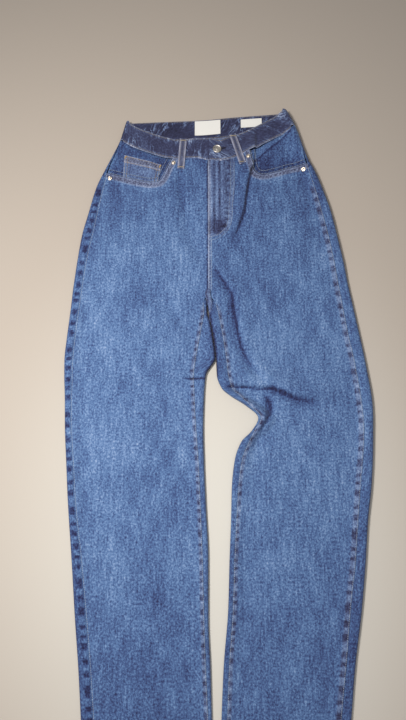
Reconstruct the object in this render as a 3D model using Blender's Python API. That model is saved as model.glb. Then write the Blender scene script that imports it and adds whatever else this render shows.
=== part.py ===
"""Straight five-pocket jeans laid flat on their back, front side up, waist towards +Y.

Left and right are the wearer's, so the right leg lies at -X. Every size below is in
millimetres, and x and height are measured from the crotch point: x sideways from the fly
line, height towards the waist. PLACE then moves the whole garment so that the origin is
under the middle of its outline, on the floor.
"""

import math

import bpy
import numpy as np
from mathutils.bvhtree import BVHTree

MM = 0.001

# Cloth and its layers
DENIM = 1.4  # thickness of one layer of the body denim
FACING = 1.2  # the lighter layer in the pockets and the fly
BAND = 2.4  # the waistband is two layers
HEM = 2.0  # the turned-up hem
SEAM_GAP = 0.3  # between the solids that a seam joins
BAND_PROUD = 0.6  # the waistband stands this far over the panels

# Overall sizes
HEM_HEIGHT = -752.0  # below the crotch: the inseam
HEM_DEPTH = 15.0
PLACE = (-15.9, 190.0)  # from the crotch point to the middle of the outline
SEAT_LIFT = 1.7  # the seat lies on its pockets and belt loops, this far over the floor
SEAT_LIFT_FROM, SEAT_LIFT_TO = 20.0, 60.0
CROTCH_RISE = 16.0  # over this length the back panels climb to the inseams

# One row for each section across a leg, in millimetres out from the fly line.
# height, outer edge, side seam, inseam, inner edge, roll of outer edge, roll of inner edge
SECTION_COLUMNS = (
    "height", "outer", "side_seam", "inseam", "inner", "outer_roll", "inner_roll",
)
RIGHT_SECTIONS = (
    (351, 159.0, 158.5, 0.5, 0.0, 5.2, 4.5),
    (309, 170.0, 169.5, 0.5, 0.0, 5.2, 4.5),
    (280, 182.0, 178.0, 0.5, 0.0, 5.2, 4.5),
    (250, 195.5, 190.0, 0.5, 0.0, 5.2, 4.5),
    (210, 212.0, 199.0, 0.5, 0.0, 5.2, 4.5),
    (154, 225.5, 209.5, 0.5, 0.0, 5.3, 4.5),
    (112, 235.0, 216.5, 0.5, 0.0, 5.4, 4.5),
    (64, 241.0, 225.0, 0.5, 0.0, 5.5, 4.5),
    (0, 247.5, 232.5, 2.0, 1.0, 5.5, 4.5),
    (-14, 248.3, 234.0, 7.0, 1.2, 5.5, 4.5),
    (-36, 249.8, 235.8, 6.0, 1.0, 5.5, 4.5),
    (-53, 251.2, 237.5, 8.5, -3.0, 5.5, 4.6),
    (-88, 254.0, 240.0, 15.0, -8.0, 5.5, 4.8),
    (-120, 256.0, 242.0, 20.5, -12.0, 5.5, 4.8),
    (-153, 254.8, 241.6, 24.5, 4.0, 5.5, 4.8),
    (-190, 252.0, 240.5, 23.0, 7.0, 5.4, 4.8),
    (-245, 249.0, 238.0, 20.0, 8.5, 5.3, 4.7),
    (-307, 243.5, 232.0, 15.5, 7.0, 5.2, 4.6),
    (-367, 238.0, 226.0, 12.5, 4.5, 5.0, 4.5),
    (-463, 227.0, 211.5, 8.5, 0.0, 4.8, 4.4),
    (-555, 217.0, 199.0, 6.0, 0.0, 4.6, 4.3),
    (-626, 208.5, 190.0, 3.5, -3.0, 4.4, 4.2),
    (-701, 201.0, 182.0, 0.0, -5.0, 4.2, 4.1),
    (-752, 196.0, 176.0, -2.0, -7.0, 4.2, 4.1),
)
LEFT_SECTIONS = (
    (372, 155.0, 154.5, 0.5, 0.0, 9.0, 4.5),
    (337, 171.0, 170.5, 0.5, 0.0, 9.0, 4.5),
    (294, 184.0, 182.0, 0.5, 0.0, 8.6, 4.5),
    (268, 193.0, 186.5, 0.5, 0.0, 8.2, 4.5),
    (243, 205.0, 193.5, 0.5, 0.0, 7.8, 4.5),
    (210, 217.0, 203.0, 0.5, 0.0, 7.2, 4.5),
    (160, 232.0, 215.0, 0.5, 0.0, 6.6, 4.5),
    (112, 241.5, 225.0, 0.5, 0.0, 6.2, 4.5),
    (64, 250.0, 233.0, 0.5, 0.0, 6.0, 4.5),
    (0, 259.5, 241.5, 3.0, 1.0, 6.0, 4.5),
    (-14, 262.0, 243.5, 11.0, 1.2, 6.0, 4.5),
    (-36, 265.5, 246.5, 17.0, 1.6, 6.0, 4.6),
    (-51, 268.0, 248.5, 20.0, 4.4, 6.0, 4.7),
    (-88, 274.0, 254.0, 26.5, 12.0, 6.0, 4.9),
    (-120, 278.8, 259.8, 31.0, 15.0, 6.2, 5.2),
    (-153, 283.2, 264.3, 34.5, 15.5, 6.4, 6.0),
    (-176, 286.0, 267.0, 41.0, 24.0, 6.5, 7.0),
    (-190, 287.3, 268.5, 55.0, 40.0, 6.5, 7.6),
    (-206, 288.0, 269.6, 70.5, 65.0, 6.5, 8.2),
    (-228, 287.6, 270.6, 90.0, 87.0, 6.5, 8.4),
    (-250, 286.2, 270.3, 79.0, 75.5, 6.4, 7.8),
    (-269, 285.0, 269.0, 69.0, 57.0, 6.3, 7.0),
    (-300, 282.6, 265.5, 56.5, 45.5, 6.1, 6.0),
    (-345, 277.5, 259.0, 50.0, 40.0, 5.8, 5.2),
    (-400, 268.5, 252.0, 46.0, 38.0, 5.5, 4.8),
    (-463, 261.0, 244.5, 42.0, 35.0, 5.2, 4.6),
    (-540, 250.0, 232.0, 38.5, 32.0, 4.9, 4.4),
    (-626, 234.5, 220.0, 31.5, 24.0, 4.6, 4.2),
    (-701, 224.0, 209.0, 28.0, 20.0, 4.4, 4.1),
    (-752, 217.0, 203.0, 26.0, 18.0, 4.4, 4.1),
)
# Heights at which the solids have a row of points below the crotch
RIGHT_ROWS = (
    -5, -10, -16, -30, -53, -75, -100, -120, -138, -150, -158, -166, -185, -215,
    -255, -305, -370, -445, -525, -605, -680,
)
LEFT_ROWS = (
    -5, -10, -16, -30, -51, -75, -100, -125, -150, -163, -171, -178, -184, -190, -197,
    -205, -214, -224, -234, -245, -258, -274, -295, -325, -370, -430, -505, -590, -670,
)

# The cloth's height over what it lies on, away from its rolled edges: height, lift
LIE = ((380, 9.0), (230, 9.0), (120, 8.5), (20, 8.2), (-100, 7.0), (-250, 6.4), (-500, 6.0), (-690, 6.0), (-752, 6.6))
EDGE_BLEND = 26.0  # the rolled edge sinks to that height over this width

# Seams across the hips: x, height
FRONT_WAIST_SEAM = (
    (-170, 309), (-140, 292), (-110, 281), (-80, 272), (-58, 270), (-39, 271), (-22, 271),
    (1, 265), (23, 263), (55, 273), (70, 282), (97, 296), (127, 312), (158, 328), (171, 337),
)
FRONT_WAIST_EDGE = (
    (-159, 351), (-141, 339), (-111, 326), (-81, 316), (-51, 310), (-21, 314), (5, 312),
    (23, 308), (40, 316), (68, 327), (98, 342), (129, 359), (155, 372),
)
BACK_WAIST_SEAM = ((-170, 309), (-100, 311), (0, 315), (60, 321), (130, 328), (171, 337))
BACK_WAIST_EDGE = ((-159, 351), (-96, 354), (-6, 358), (53, 364), (129, 370), (155, 372))
# Mouths of the front pockets, from the side seam to the waist seam: out from the fly, height
RIGHT_MOUTH = ((194, 238), (165, 231), (138, 224), (108, 219), (94, 221), (85, 231), (78, 248), (67, 271))
LEFT_MOUTH = ((188, 255), (157, 249), (128, 240), (106, 235), (94, 238), (87, 250), (84, 266), (80, 287))
# Places along the waist seam, out from the fly, where the panels and the band share points
WAIST_PLACES = (0.15, 8, 16, 23, 31, 40, 48, 57)
WAIST_PLACES_AT_SIDE = {"right": (67, 80, 94, 108, 124, 140, 154), "left": (66, 80, 94, 108, 124, 140, 156)}
YOKE_AT_SIDE = {"right": 281.0, "left": 304.0}
YOKE_AT_CENTRE = 254.0

# Layers under the fly, measured down from the front's face
FLY_TOP, FLY_FOOT = 262.0, 100.0
FLY_STEP = 1.8  # the left front laps over the right front by this much
FLY_CLEAR = 0.9
ZIP_DEPTH, ZIP_THICK = 6.2, 1.4
SLIDER_DEPTH, SLIDER_THICK = 4.8, 1.1
SHIELD_DEPTH, SHIELD_THICK = 8.0, 1.2

BUTTON_AT = (18.0, 287.0)
BUTTON_RADIUS = 8.5
RIVETS = {
    "rivet_right_waist": (-65.5, 261.0),
    "rivet_right_side": (-186.0, 227.5),
    "rivet_left_waist": (77.5, 273.0),
    "rivet_left_side": (182.0, 245.0),
}
RIVET_RADIUS = 3.9

INDIGO = (0.115, 0.205, 0.405)
INDIGO_DARK = (0.055, 0.085, 0.235)
INDIGO_PALE = (0.20, 0.30, 0.50)
STEEL = (0.55, 0.53, 0.48)
LABEL_WHITE = (0.80, 0.79, 0.74)


def smoothstep(t):
    t = np.clip(t, 0.0, 1.0)
    return t * t * (3.0 - 2.0 * t)


def bell(t):
    return np.exp(-t * t)


def through(knots, values, at):
    """A smooth curve through the knots that never swings past them (monotone cubic)."""
    knots, values = np.asarray(knots, float), np.asarray(values, float)
    if knots[0] > knots[-1]:
        knots, values = knots[::-1], values[::-1]
    step = np.diff(knots)
    slope = np.diff(values) / step
    inner = np.where(
        slope[:-1] * slope[1:] > 0,
        2 * slope[:-1] * slope[1:] / np.where(slope[:-1] + slope[1:] == 0, 1, slope[:-1] + slope[1:]),
        0.0,
    )
    tangent = np.concatenate([[slope[0]], inner, [slope[-1]]])
    at = np.clip(np.asarray(at, float), knots[0], knots[-1])
    i = np.clip(np.searchsorted(knots, at) - 1, 0, len(step) - 1)
    t = (at - knots[i]) / step[i]
    return (
        values[i] * (1 + 2 * t) * (1 - t) ** 2
        + values[i + 1] * t * t * (3 - 2 * t)
        + step[i] * (tangent[i] * t * (1 - t) ** 2 - tangent[i + 1] * t * t * (1 - t))
    )


def along(table, at):
    """Reads a two-column table as a smooth curve."""
    return through([row[0] for row in table], [row[1] for row in table], at)


class Leg:
    """One half of the garment. q is the distance out from the fly line, towards the side seam."""

    def __init__(self, name, side, sections, rows, mouth):
        self.name, self.side, self.rows, self.mouth = name, side, rows, mouth
        self.sections = dict(zip(SECTION_COLUMNS, np.array(sections, float).T))

    def at(self, column, height):
        return through(self.sections["height"], self.sections[column], height)

    def front_inner(self, height):
        """Where the front panel ends: at the fly line, then along the inseam."""
        share = smoothstep(-height / 14.0)
        return (1 - share) * SEAM_GAP / 2 + share * (self.at("inseam", height) + SEAM_GAP / 2)


RIGHT = Leg("right", -1, RIGHT_SECTIONS, RIGHT_ROWS, RIGHT_MOUTH)
LEFT = Leg("left", 1, LEFT_SECTIONS, LEFT_ROWS, LEFT_MOUTH)


def rest(height):
    """Height of the underside over the floor."""
    return SEAT_LIFT * smoothstep((height - SEAT_LIFT_FROM) / (SEAT_LIFT_TO - SEAT_LIFT_FROM))


# Folds that run down the garment: x of the fold's bottom by height
FLY_CREASE = ((300, 93), (264, 90), (245, 82), (219, 76), (187, 71), (164, 68), (140, 60), (114, 50), (90, 36))
CROTCH_CREASE = ((60, 8), (44, 15), (17, 33), (-5, 44), (-26, 46), (-50, 50), (-89, 57), (-122, 69), (-155, 93), (-173, 108))
NOTCH_CREASE = ((-185, 99), (-200, 107), (-213, 109), (-228, 104), (-252, 90), (-283, 84), (-334, 82), (-415, 80))
LOOP_PLEAT = ((250, -54), (235, -53), (190, -49), (140, -38), (90, -24), (60, -12))
# Folds that run across: height of the fold's bottom by x
KNEE_CREASE = ((30, -172), (67, -173), (94, -176), (108, -175), (134, -184), (160, -195), (195, -199), (238, -204))
THIGH_CREASE = ((-118, 17), (-76, -21), (-45, -58), (-30, -82))


def folds(x, height):
    """The largest folds of the front, up to about 6 mm high, as soft ridges and troughs."""
    z = np.zeros(np.broadcast(x, height).shape)
    # The fly lies proud as a lobe that drops off at a crease to its left
    d = x - along(FLY_CREASE, height)
    run = smoothstep((height - 95) / 60) * smoothstep((345 - height) / 60) * smoothstep(x / 15)
    z += run * (3.2 * bell((d + 11) / 13) - 3.4 * bell((d - 4) / 6))
    z += 2.8 * bell((x - 14) / 34) * smoothstep((height - 70) / 50) * smoothstep((330 - height) / 30)
    # The left front laps over the right front
    lap = smoothstep((height - 85) / 25) * (x > 0) * smoothstep((60 - x) / 35)
    z += FLY_STEP * lap
    # A pleat that widens downwards from the right belt loop
    d = x - along(LOOP_PLEAT, height)
    widen = 6 + 10 * smoothstep((235 - height) / 120)
    z -= 2.6 * bell(d / widen) * smoothstep((height - 50) / 40) * smoothstep((250 - height) / 25)
    # From the crotch across the left thigh: a soft slope on its inner side, a crisp one outside
    d = x - along(CROTCH_CREASE, height)
    run = smoothstep((52 - height) / 40) * smoothstep((height + 182) / 40)
    z -= run * np.where(d < 0, 3.6 * bell(d / 13), 3.6 * bell(d / 6))
    z += run * 1.4 * bell((d - 22) / 14)
    # The kink at the left knee: cloth pushed up over a deep crease
    d = height - along(KNEE_CREASE, x)
    run = smoothstep((x - 22) / 35) * smoothstep((250 - x) / 90)
    z += run * (6.0 * bell((d - 13) / 13) - 3.4 * bell((d + 5) / 8))
    # Behind the notch in the left inner edge, and the long trough under it
    d = x - along(NOTCH_CREASE, height)
    run = smoothstep((-183 - height) / 14) * smoothstep((height + 300) / 60)
    z -= 3.6 * run * bell(d / 7)
    run = smoothstep((-240 - height) / 40) * smoothstep((height + 440) / 150)
    z -= 1.6 * run * bell(d / 16)
    # Across the right thigh, and two waves over the right knee
    d = height - along(THIGH_CREASE, x)
    run = smoothstep((x + 150) / 40) * smoothstep((-14 - x) / 20)
    z -= 1.8 * run * bell(d / 17)
    run = smoothstep((-75 - height) / 40) * smoothstep((height + 235) / 40) * smoothstep((-20 - x) / 30)
    z += 1.5 * run * np.cos(2 * math.pi * (height + 153 + 0.05 * x) / 54)
    # A short pinch across the right inseam
    run = smoothstep((x + 48) / 18) * (x < 12)
    return z - 1.8 * run * bell((height + 158) / 4)


def sway(x, height):
    """Slow unevenness of cloth that nobody pressed."""
    return (
        0.5 * np.sin(x / 31.0 + height / 47.0 + 0.6)
        + 0.45 * np.sin(x / 58.0 - height / 83.0 + 2.1)
        + 0.35 * np.sin(height / 29.0 + x / 90.0)
    )


def edge_drop(distance, roll):
    """How far a rolled edge of that radius has dropped at a distance in from the outline."""
    d = np.clip(distance, 0.0, roll)
    return roll - np.sqrt(np.maximum(roll * roll - (roll - d) ** 2, 0.0))


def inner_share(height):
    """0 over the seat, 1 where the leg has an inner edge of its own."""
    return smoothstep(-height / CROTCH_RISE)


def top_height(leg, q, height, proud=0.0):
    """Height over the floor of the front's outer face."""
    outer_roll = leg.at("outer_roll", height) + proud / 2
    inner_roll = leg.at("inner_roll", height) + proud / 2
    from_outer = leg.at("outer", height) - q
    from_inner = q - leg.at("inner", height)
    parted = inner_share(height)
    level_out = smoothstep((from_outer - outer_roll) / EDGE_BLEND)
    level_in = 1 - parted * (1 - smoothstep((from_inner - inner_roll) / EDGE_BLEND))
    x = leg.side * q
    flat = along(LIE, height) + proud + sway(x, height)
    lying = (1 - level_out) * 2 * outer_roll + level_out * (
        (1 - level_in) * 2 * inner_roll + level_in * flat
    )
    free = smoothstep((from_outer - outer_roll) / 12) * (
        1 - parted * (1 - smoothstep((from_inner - inner_roll) / 8))
    )
    least = 3.9 + 1.2 * smoothstep((-690 - height) / 40) + 2.9 * smoothstep((height - 190) / 25)
    lying = np.maximum(lying + free * folds(x, height), least)
    lying = lying - edge_drop(from_outer, outer_roll) - parted * edge_drop(from_inner, inner_roll)
    return rest(height) + lying


def front_face(x, height, proud=0.0):
    """The front's outer face at a place on either half."""
    return np.where(
        x > 0,
        top_height(LEFT, np.maximum(x, 0.0), height, proud),
        top_height(RIGHT, np.maximum(-x, 0.0), height, proud),
    )


def wrap_length(inset, roll):
    """Length of cloth from the underside round a rolled edge to a seam that far in."""
    on_arc = roll * (math.pi / 2 + np.arccos(np.clip((roll - inset) / roll, -1, 1)))
    return np.where(inset < roll, on_arc, math.pi * roll + inset - roll)


def wrapped(leg, q_edge, inward, roll, length, height, proud=0.0):
    """(q, z) at that length of cloth from the underside, round an edge at q_edge."""
    turn = np.minimum(length / roll, math.pi) - math.pi / 2
    distance = roll * (1 - np.cos(turn)) + np.maximum(length - math.pi * roll, 0.0)
    q = q_edge + inward * distance
    arc = rest(height) + roll * (1 + np.sin(turn))
    over = top_height(leg, q, height, proud)
    return q, np.where(length < math.pi * roll, arc, over)


def back_sheet(leg, c, height):
    """(q, z) of the back's outer face. c runs 0 to 1 from the side seam round the outer edge,
    1 to 2 across the underside, and 2 to 3 round the inner edge to the inseam. Over the
    seat the last stretch lies flat, up to the centre back seam."""
    outer, inner = leg.at("outer", height), leg.at("inner", height)
    outer_roll, inner_roll = leg.at("outer_roll", height), leg.at("inner_roll", height)
    out_length = wrap_length(outer - leg.at("side_seam", height) - SEAM_GAP / 2, outer_roll)
    in_length = wrap_length(
        np.maximum(leg.at("inseam", height) - SEAM_GAP / 2 - inner, 0.05), inner_roll
    )
    parted = inner_share(height)
    q_out, z_out = wrapped(
        leg, outer, -1, outer_roll, out_length * (1 - np.clip(c, 0, 1)), height
    )
    s = in_length * np.clip(c - 2, 0, 1)
    q_in, z_in = wrapped(leg, inner, 1, inner_roll, s, height)
    q_flat = SEAM_GAP / 2 + in_length - s
    q_in = (1 - parted) * q_flat + parted * q_in
    z_in = (1 - parted) * rest(height) + parted * z_in
    q_start = outer - outer_roll
    q_end = (1 - parted) * (SEAM_GAP / 2 + in_length) + parted * (inner + inner_roll)
    t = np.clip(c - 1, 0, 1)
    q_under = (1 - t) * q_start + t * q_end
    q = np.where(c < 1, q_out, np.where(c < 2, q_under, q_in))
    z = np.where(c < 1, z_out, np.where(c < 2, rest(height), z_in))
    return q, z


def unit(v):
    return v / np.maximum(np.linalg.norm(v, axis=-1, keepdims=True), 1e-9)


def points(x, height, z):
    return np.stack(np.broadcast_arrays(x, height, z), axis=-1)


def front_normals(x, height, proud=0.0):
    step = 0.05
    slope_x = (front_face(x + step, height, proud) - front_face(x - step, height, proud)) / (2 * step)
    slope_y = (front_face(x, height + step, proud) - front_face(x, height - step, proud)) / (2 * step)
    return unit(points(-slope_x, -slope_y, np.ones_like(slope_x)))


def add_object(name, vertices, faces, colour, roughness, metallic=0.0):
    """One named solid, with its own material. Vertices are in millimetres from the crotch."""
    vertices = (np.asarray(vertices, float) + np.array([*PLACE, 0.0])) * MM
    mesh = bpy.data.meshes.new(name)
    mesh.from_pydata(vertices.tolist(), [], faces)
    mesh.update()
    material = bpy.data.materials.new(name)
    material.use_nodes = True
    shader = material.node_tree.nodes["Principled BSDF"]
    shader.inputs["Base Color"].default_value = (*colour, 1.0)
    shader.inputs["Roughness"].default_value = roughness
    shader.inputs["Metallic"].default_value = metallic
    mesh.materials.append(material)
    solid = bpy.data.objects.new(name, mesh)
    bpy.context.scene.collection.objects.link(solid)
    return solid


def wall(name, outside, normals, thickness, colour, ring=False):
    """A closed wall of cloth from a grid of points on its outer face.

    The inner face is the same grid moved in along the normals. With ring set the
    columns close on themselves, as round a leg."""
    rows, columns = outside.shape[:2]
    inside = outside - thickness * normals
    across = outside[0, 1] - outside[0, 0]
    down = outside[1, 0] - outside[0, 0]
    facing_out = np.dot(np.cross(across, down), normals[0, 0]) > 0
    vertices = np.concatenate([outside.reshape(-1, 3), inside.reshape(-1, 3)])
    back = rows * columns
    faces = []

    def quad(a, b, c, d):
        faces.append((a, b, c, d) if facing_out else (d, c, b, a))

    last = columns if ring else columns - 1
    for i in range(rows - 1):
        for j in range(last):
            k = (j + 1) % columns
            a, b, c, d = i * columns + j, i * columns + k, (i + 1) * columns + k, (i + 1) * columns + j
            quad(a, b, c, d)
            quad(back + d, back + c, back + b, back + a)
    for j in range(last):
        k = (j + 1) % columns
        foot = (rows - 1) * columns
        quad(k, j, back + j, back + k)
        quad(foot + j, foot + k, back + foot + k, back + foot + j)
    if not ring:
        for i in range(rows - 1):
            a, d = i * columns, (i + 1) * columns
            b, c = a + columns - 1, d + columns - 1
            # Both edges split the same way, so two walls meet at a seam without crossing
            for corners in ((a, d, back + d), (a, back + d, back + a), (b, back + c, c), (b, back + b, back + c)):
                faces.append(corners if facing_out else corners[::-1])
    return add_object(name, vertices, faces, colour, 0.9)


def patch(name, x, height, underside, thickness, colour):
    """A flat piece that lies on another: its lower face is given, and it has even thickness."""
    outside = points(x, height, underside + thickness)
    normals = np.zeros_like(outside)
    normals[..., 2] = 1.0
    return wall(name, outside, normals, thickness, colour)


def turned(name, centre, profile, colour, roughness, metallic, sides=20, lies_on=None):
    """A small round piece: a profile of (radius, z) turned about an upright axis.

    With lies_on set, z is measured from that face, so the piece leans as the cloth does."""
    angles = np.arange(sides) * 2 * math.pi / sides
    vertices = [(centre[0], centre[1], profile[0][1])]
    for radius, z in profile:
        vertices += [(centre[0] + radius * math.cos(a), centre[1] + radius * math.sin(a), z) for a in angles]
    vertices.append((centre[0], centre[1], profile[-1][1]))
    if lies_on:
        vertices = [(x, y, z + float(lies_on(np.array(x), np.array(y)))) for x, y, z in vertices]
    last = len(vertices) - 1
    faces = []
    for k in range(sides):
        m = (k + 1) % sides
        faces.append((0, 1 + m, 1 + k))
        for ring in range(len(profile) - 1):
            low, high = 1 + ring * sides, 1 + (ring + 1) * sides
            faces.append((low + k, low + m, high + m, high + k))
        top = 1 + (len(profile) - 1) * sides
        faces.append((top + k, top + m, last))
    solid = add_object(name, vertices, faces, colour, roughness, metallic)
    solid.data.shade_smooth()
    return solid


def mouth_curve(leg, count=60):
    """The pocket mouth as a smooth line of (q, height), from the side seam to the waist seam."""
    mouth = np.array(leg.mouth, float)
    chord = np.concatenate([[0], np.cumsum(np.linalg.norm(np.diff(mouth, axis=0), axis=1))])
    at = np.linspace(0, chord[-1], count)
    return through(chord, mouth[:, 0], at), through(chord, mouth[:, 1], at)


def front_top_edge(leg):
    """The front panel's upper edge: along the pocket mouth, then along the waist seam to the fly."""
    q_mouth, height_mouth = mouth_curve(leg)
    q_mouth[0] = leg.at("side_seam", height_mouth[0]) - SEAM_GAP / 2
    share = np.array([0, 0.03, 0.14, 0.28, 0.42, 0.53, 0.61, 0.69, 0.78, 0.89]) * (len(q_mouth) - 1)
    q = np.interp(share, np.arange(len(q_mouth)), q_mouth)
    height = np.interp(share, np.arange(len(q_mouth)), height_mouth)
    q_seam = np.array([q_mouth[-1], *[p for p in WAIST_PLACES[::-1] if p < q_mouth[-1] - 4]])
    seam = along(FRONT_WAIST_SEAM, leg.side * q_seam) - SEAM_GAP
    return np.concatenate([q, q_seam]), np.concatenate([height, seam])


def hip_heights(leg):
    """Heights of the panels' rows at the side seam, from the pocket mouth down to the crotch."""
    return leg.mouth[0][1] * np.linspace(1, 0, 12)


def slopes_to_normals(leg, q, height):
    """Outward normals of the front's face."""
    step = 0.05
    slope_q = (top_height(leg, q + step, height) - top_height(leg, q - step, height)) / (2 * step)
    slope_y = (top_height(leg, q, height + step) - top_height(leg, q, height - step)) / (2 * step)
    return unit(points(-leg.side * slope_q, -slope_y, np.ones_like(slope_q)))


def front_panel(leg):
    """From the side seam to the fly and the inseam, with the pocket mouth scooped out of it."""
    q_top, top = front_top_edge(leg)
    side_top = leg.at("side_seam", top) - SEAM_GAP / 2
    u = np.clip((side_top - q_top) / (side_top - SEAM_GAP / 2), 0, 1)
    u[0], u[-1] = 0.0, 1.0
    hip = hip_heights(leg)[:, None] * (top / top[0])[None, :]
    legs = np.array([*leg.rows, HEM_HEIGHT + HEM_DEPTH + SEAM_GAP], float)[:, None] + 0 * top[None, :]
    height = np.concatenate([hip, legs])
    side, inner = leg.at("side_seam", height) - SEAM_GAP / 2, leg.front_inner(height)
    q = side + u[None, :] * (inner - side)
    outside = points(leg.side * q, height, top_height(leg, q, height))
    q[:, 0] = leg.at("side_seam", height[:, 0])
    q[:, -1] = np.where(height[:, -1] < -10, leg.at("inseam", height[:, -1]), q[:, -1])
    wall("front_" + leg.name, outside, slopes_to_normals(leg, q, height), DENIM, INDIGO)


def back_points(leg, c, height):
    """The back's outer points and normals on a grid of (c, height)."""
    q, z = back_sheet(leg, c, height)
    step = 1e-3
    low, high = np.clip(c - step, 0, 3), np.clip(c + step, 0, 3)
    q_low, z_low = back_sheet(leg, low, height)
    q_high, z_high = back_sheet(leg, high, height)
    q_down, z_down = back_sheet(leg, c, height - 0.2)
    q_up, z_up = back_sheet(leg, c, height + 0.2)
    along_c = points(q_high - q_low, np.zeros_like(z), z_high - z_low)
    along_height = points(q_up - q_down, np.full_like(z, 0.4), z_up - z_down)
    normals = unit(np.cross(along_c, along_height))
    under = (c > 1) & (c < 2)
    normals = np.where((under & (normals[..., 2] > 0))[..., None], -normals, normals)
    normals[..., 0] *= leg.side
    over_outer = (c <= 1) & (z > rest(height) + 1.2 * leg.at("outer_roll", height))
    over_inner = (c >= 2) & (z > rest(height) + 1.2 * leg.at("inner_roll", height))
    over = (over_outer | (over_inner & (inner_share(height) > 0.99)))[..., None]
    q_seam = np.where(c <= 0, leg.at("side_seam", height), np.where(c >= 3, leg.at("inseam", height), q))
    normals = np.where(over, slopes_to_normals(leg, q_seam, height), normals)
    return points(leg.side * q, height, z), normals


OUTER_WRAP = np.linspace(0, 1, 9)
UNDERSIDE = np.linspace(1, 2, 6)[1:]
INNER_WRAP = np.linspace(2, 3, 9)[1:]
BACK_COLUMNS = np.concatenate([OUTER_WRAP, UNDERSIDE, INNER_WRAP])


def yoke_seam(leg, c):
    """Height of the yoke seam: it dips from the side seam to the centre back."""
    t = smoothstep((c - 1) / 2)
    return (1 - t) * YOKE_AT_SIDE[leg.name] + t * YOKE_AT_CENTRE


def back_panel(leg):
    """From the side seam round the outer edge, under the leg and round to the inseam."""
    c = BACK_COLUMNS[None, :]
    top = yoke_seam(leg, c) - SEAM_GAP / 2
    sides = np.array([top[0, 0], (top[0, 0] + leg.mouth[0][1]) / 2, *hip_heights(leg)])
    hip = sides[:, None] * top / top[0, 0]
    legs = np.array([*leg.rows, HEM_HEIGHT + HEM_DEPTH + SEAM_GAP], float)[:, None] + 0 * c
    height = np.concatenate([hip, legs])
    outside, normals = back_points(leg, c + 0 * height, height)
    wall("back_" + leg.name, outside, normals, DENIM, INDIGO)


def yoke(leg):
    """The shaped strip between the back panel and the waistband."""
    c = BACK_COLUMNS[None, :]
    low = yoke_seam(leg, c) + SEAM_GAP / 2
    q, _ = back_sheet(leg, c, low + 40)
    corner = along(BACK_WAIST_SEAM, leg.side * 200.0)
    high = np.where(c <= 1, corner, along(BACK_WAIST_SEAM, leg.side * q)) - SEAM_GAP
    height = low + np.linspace(1, 0, 4)[:, None] * (high - low)
    outside, normals = back_points(leg, c + 0 * height, height)
    wall("back_yoke_" + leg.name, outside, normals, DENIM, INDIGO)


def band_line(seam, edge, share, rise):
    """A point on the band: share along it from the right corner, rise from seam to edge."""
    first, last = np.array(seam[0][0]), np.array(seam[-1][0])
    x_seam = first + share * (last - first)
    x_edge = edge[0][0] + share * (edge[-1][0] - edge[0][0])
    y_seam, y_edge = along(seam, x_seam), along(edge, x_edge)
    return x_seam + rise * (x_edge - x_seam), y_seam + rise * (y_edge - y_seam)


def band_end(leg, rise):
    """(q, height, roll) of the waistband's side fold at a rise over its seam."""
    height = leg.sections["height"][1] + rise * (leg.sections["height"][0] - leg.sections["height"][1])
    return leg.at("outer", height), height, leg.at("outer_roll", height) + BAND_PROUD / 2


BAND_LEFT_END, BAND_RIGHT_END = 3.0, 27.0
BUTTONHOLE = (22.0, 5.6)


def band_front(x, rise):
    """The front stretch of the band at x: its height and the z of its outer face."""
    share = (x + 170.0) / 342.0
    for _ in range(4):
        x_at, height = band_line(FRONT_WAIST_SEAM, FRONT_WAIST_EDGE, share, rise)
        share = share + (x - x_at) / 330.0
    return height, front_face(x, height, BAND_PROUD)


def band_corner(leg, rise, turn):
    """The band's side fold. turn is 1 at the front face and 0 at the underside."""
    q_edge, height, roll = band_end(leg, rise)
    angle = math.pi * (turn - 0.5)
    q = q_edge - roll * (1 - np.cos(angle))
    return leg.side * q, height, rest(height) + roll * (1 + np.sin(angle))


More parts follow.
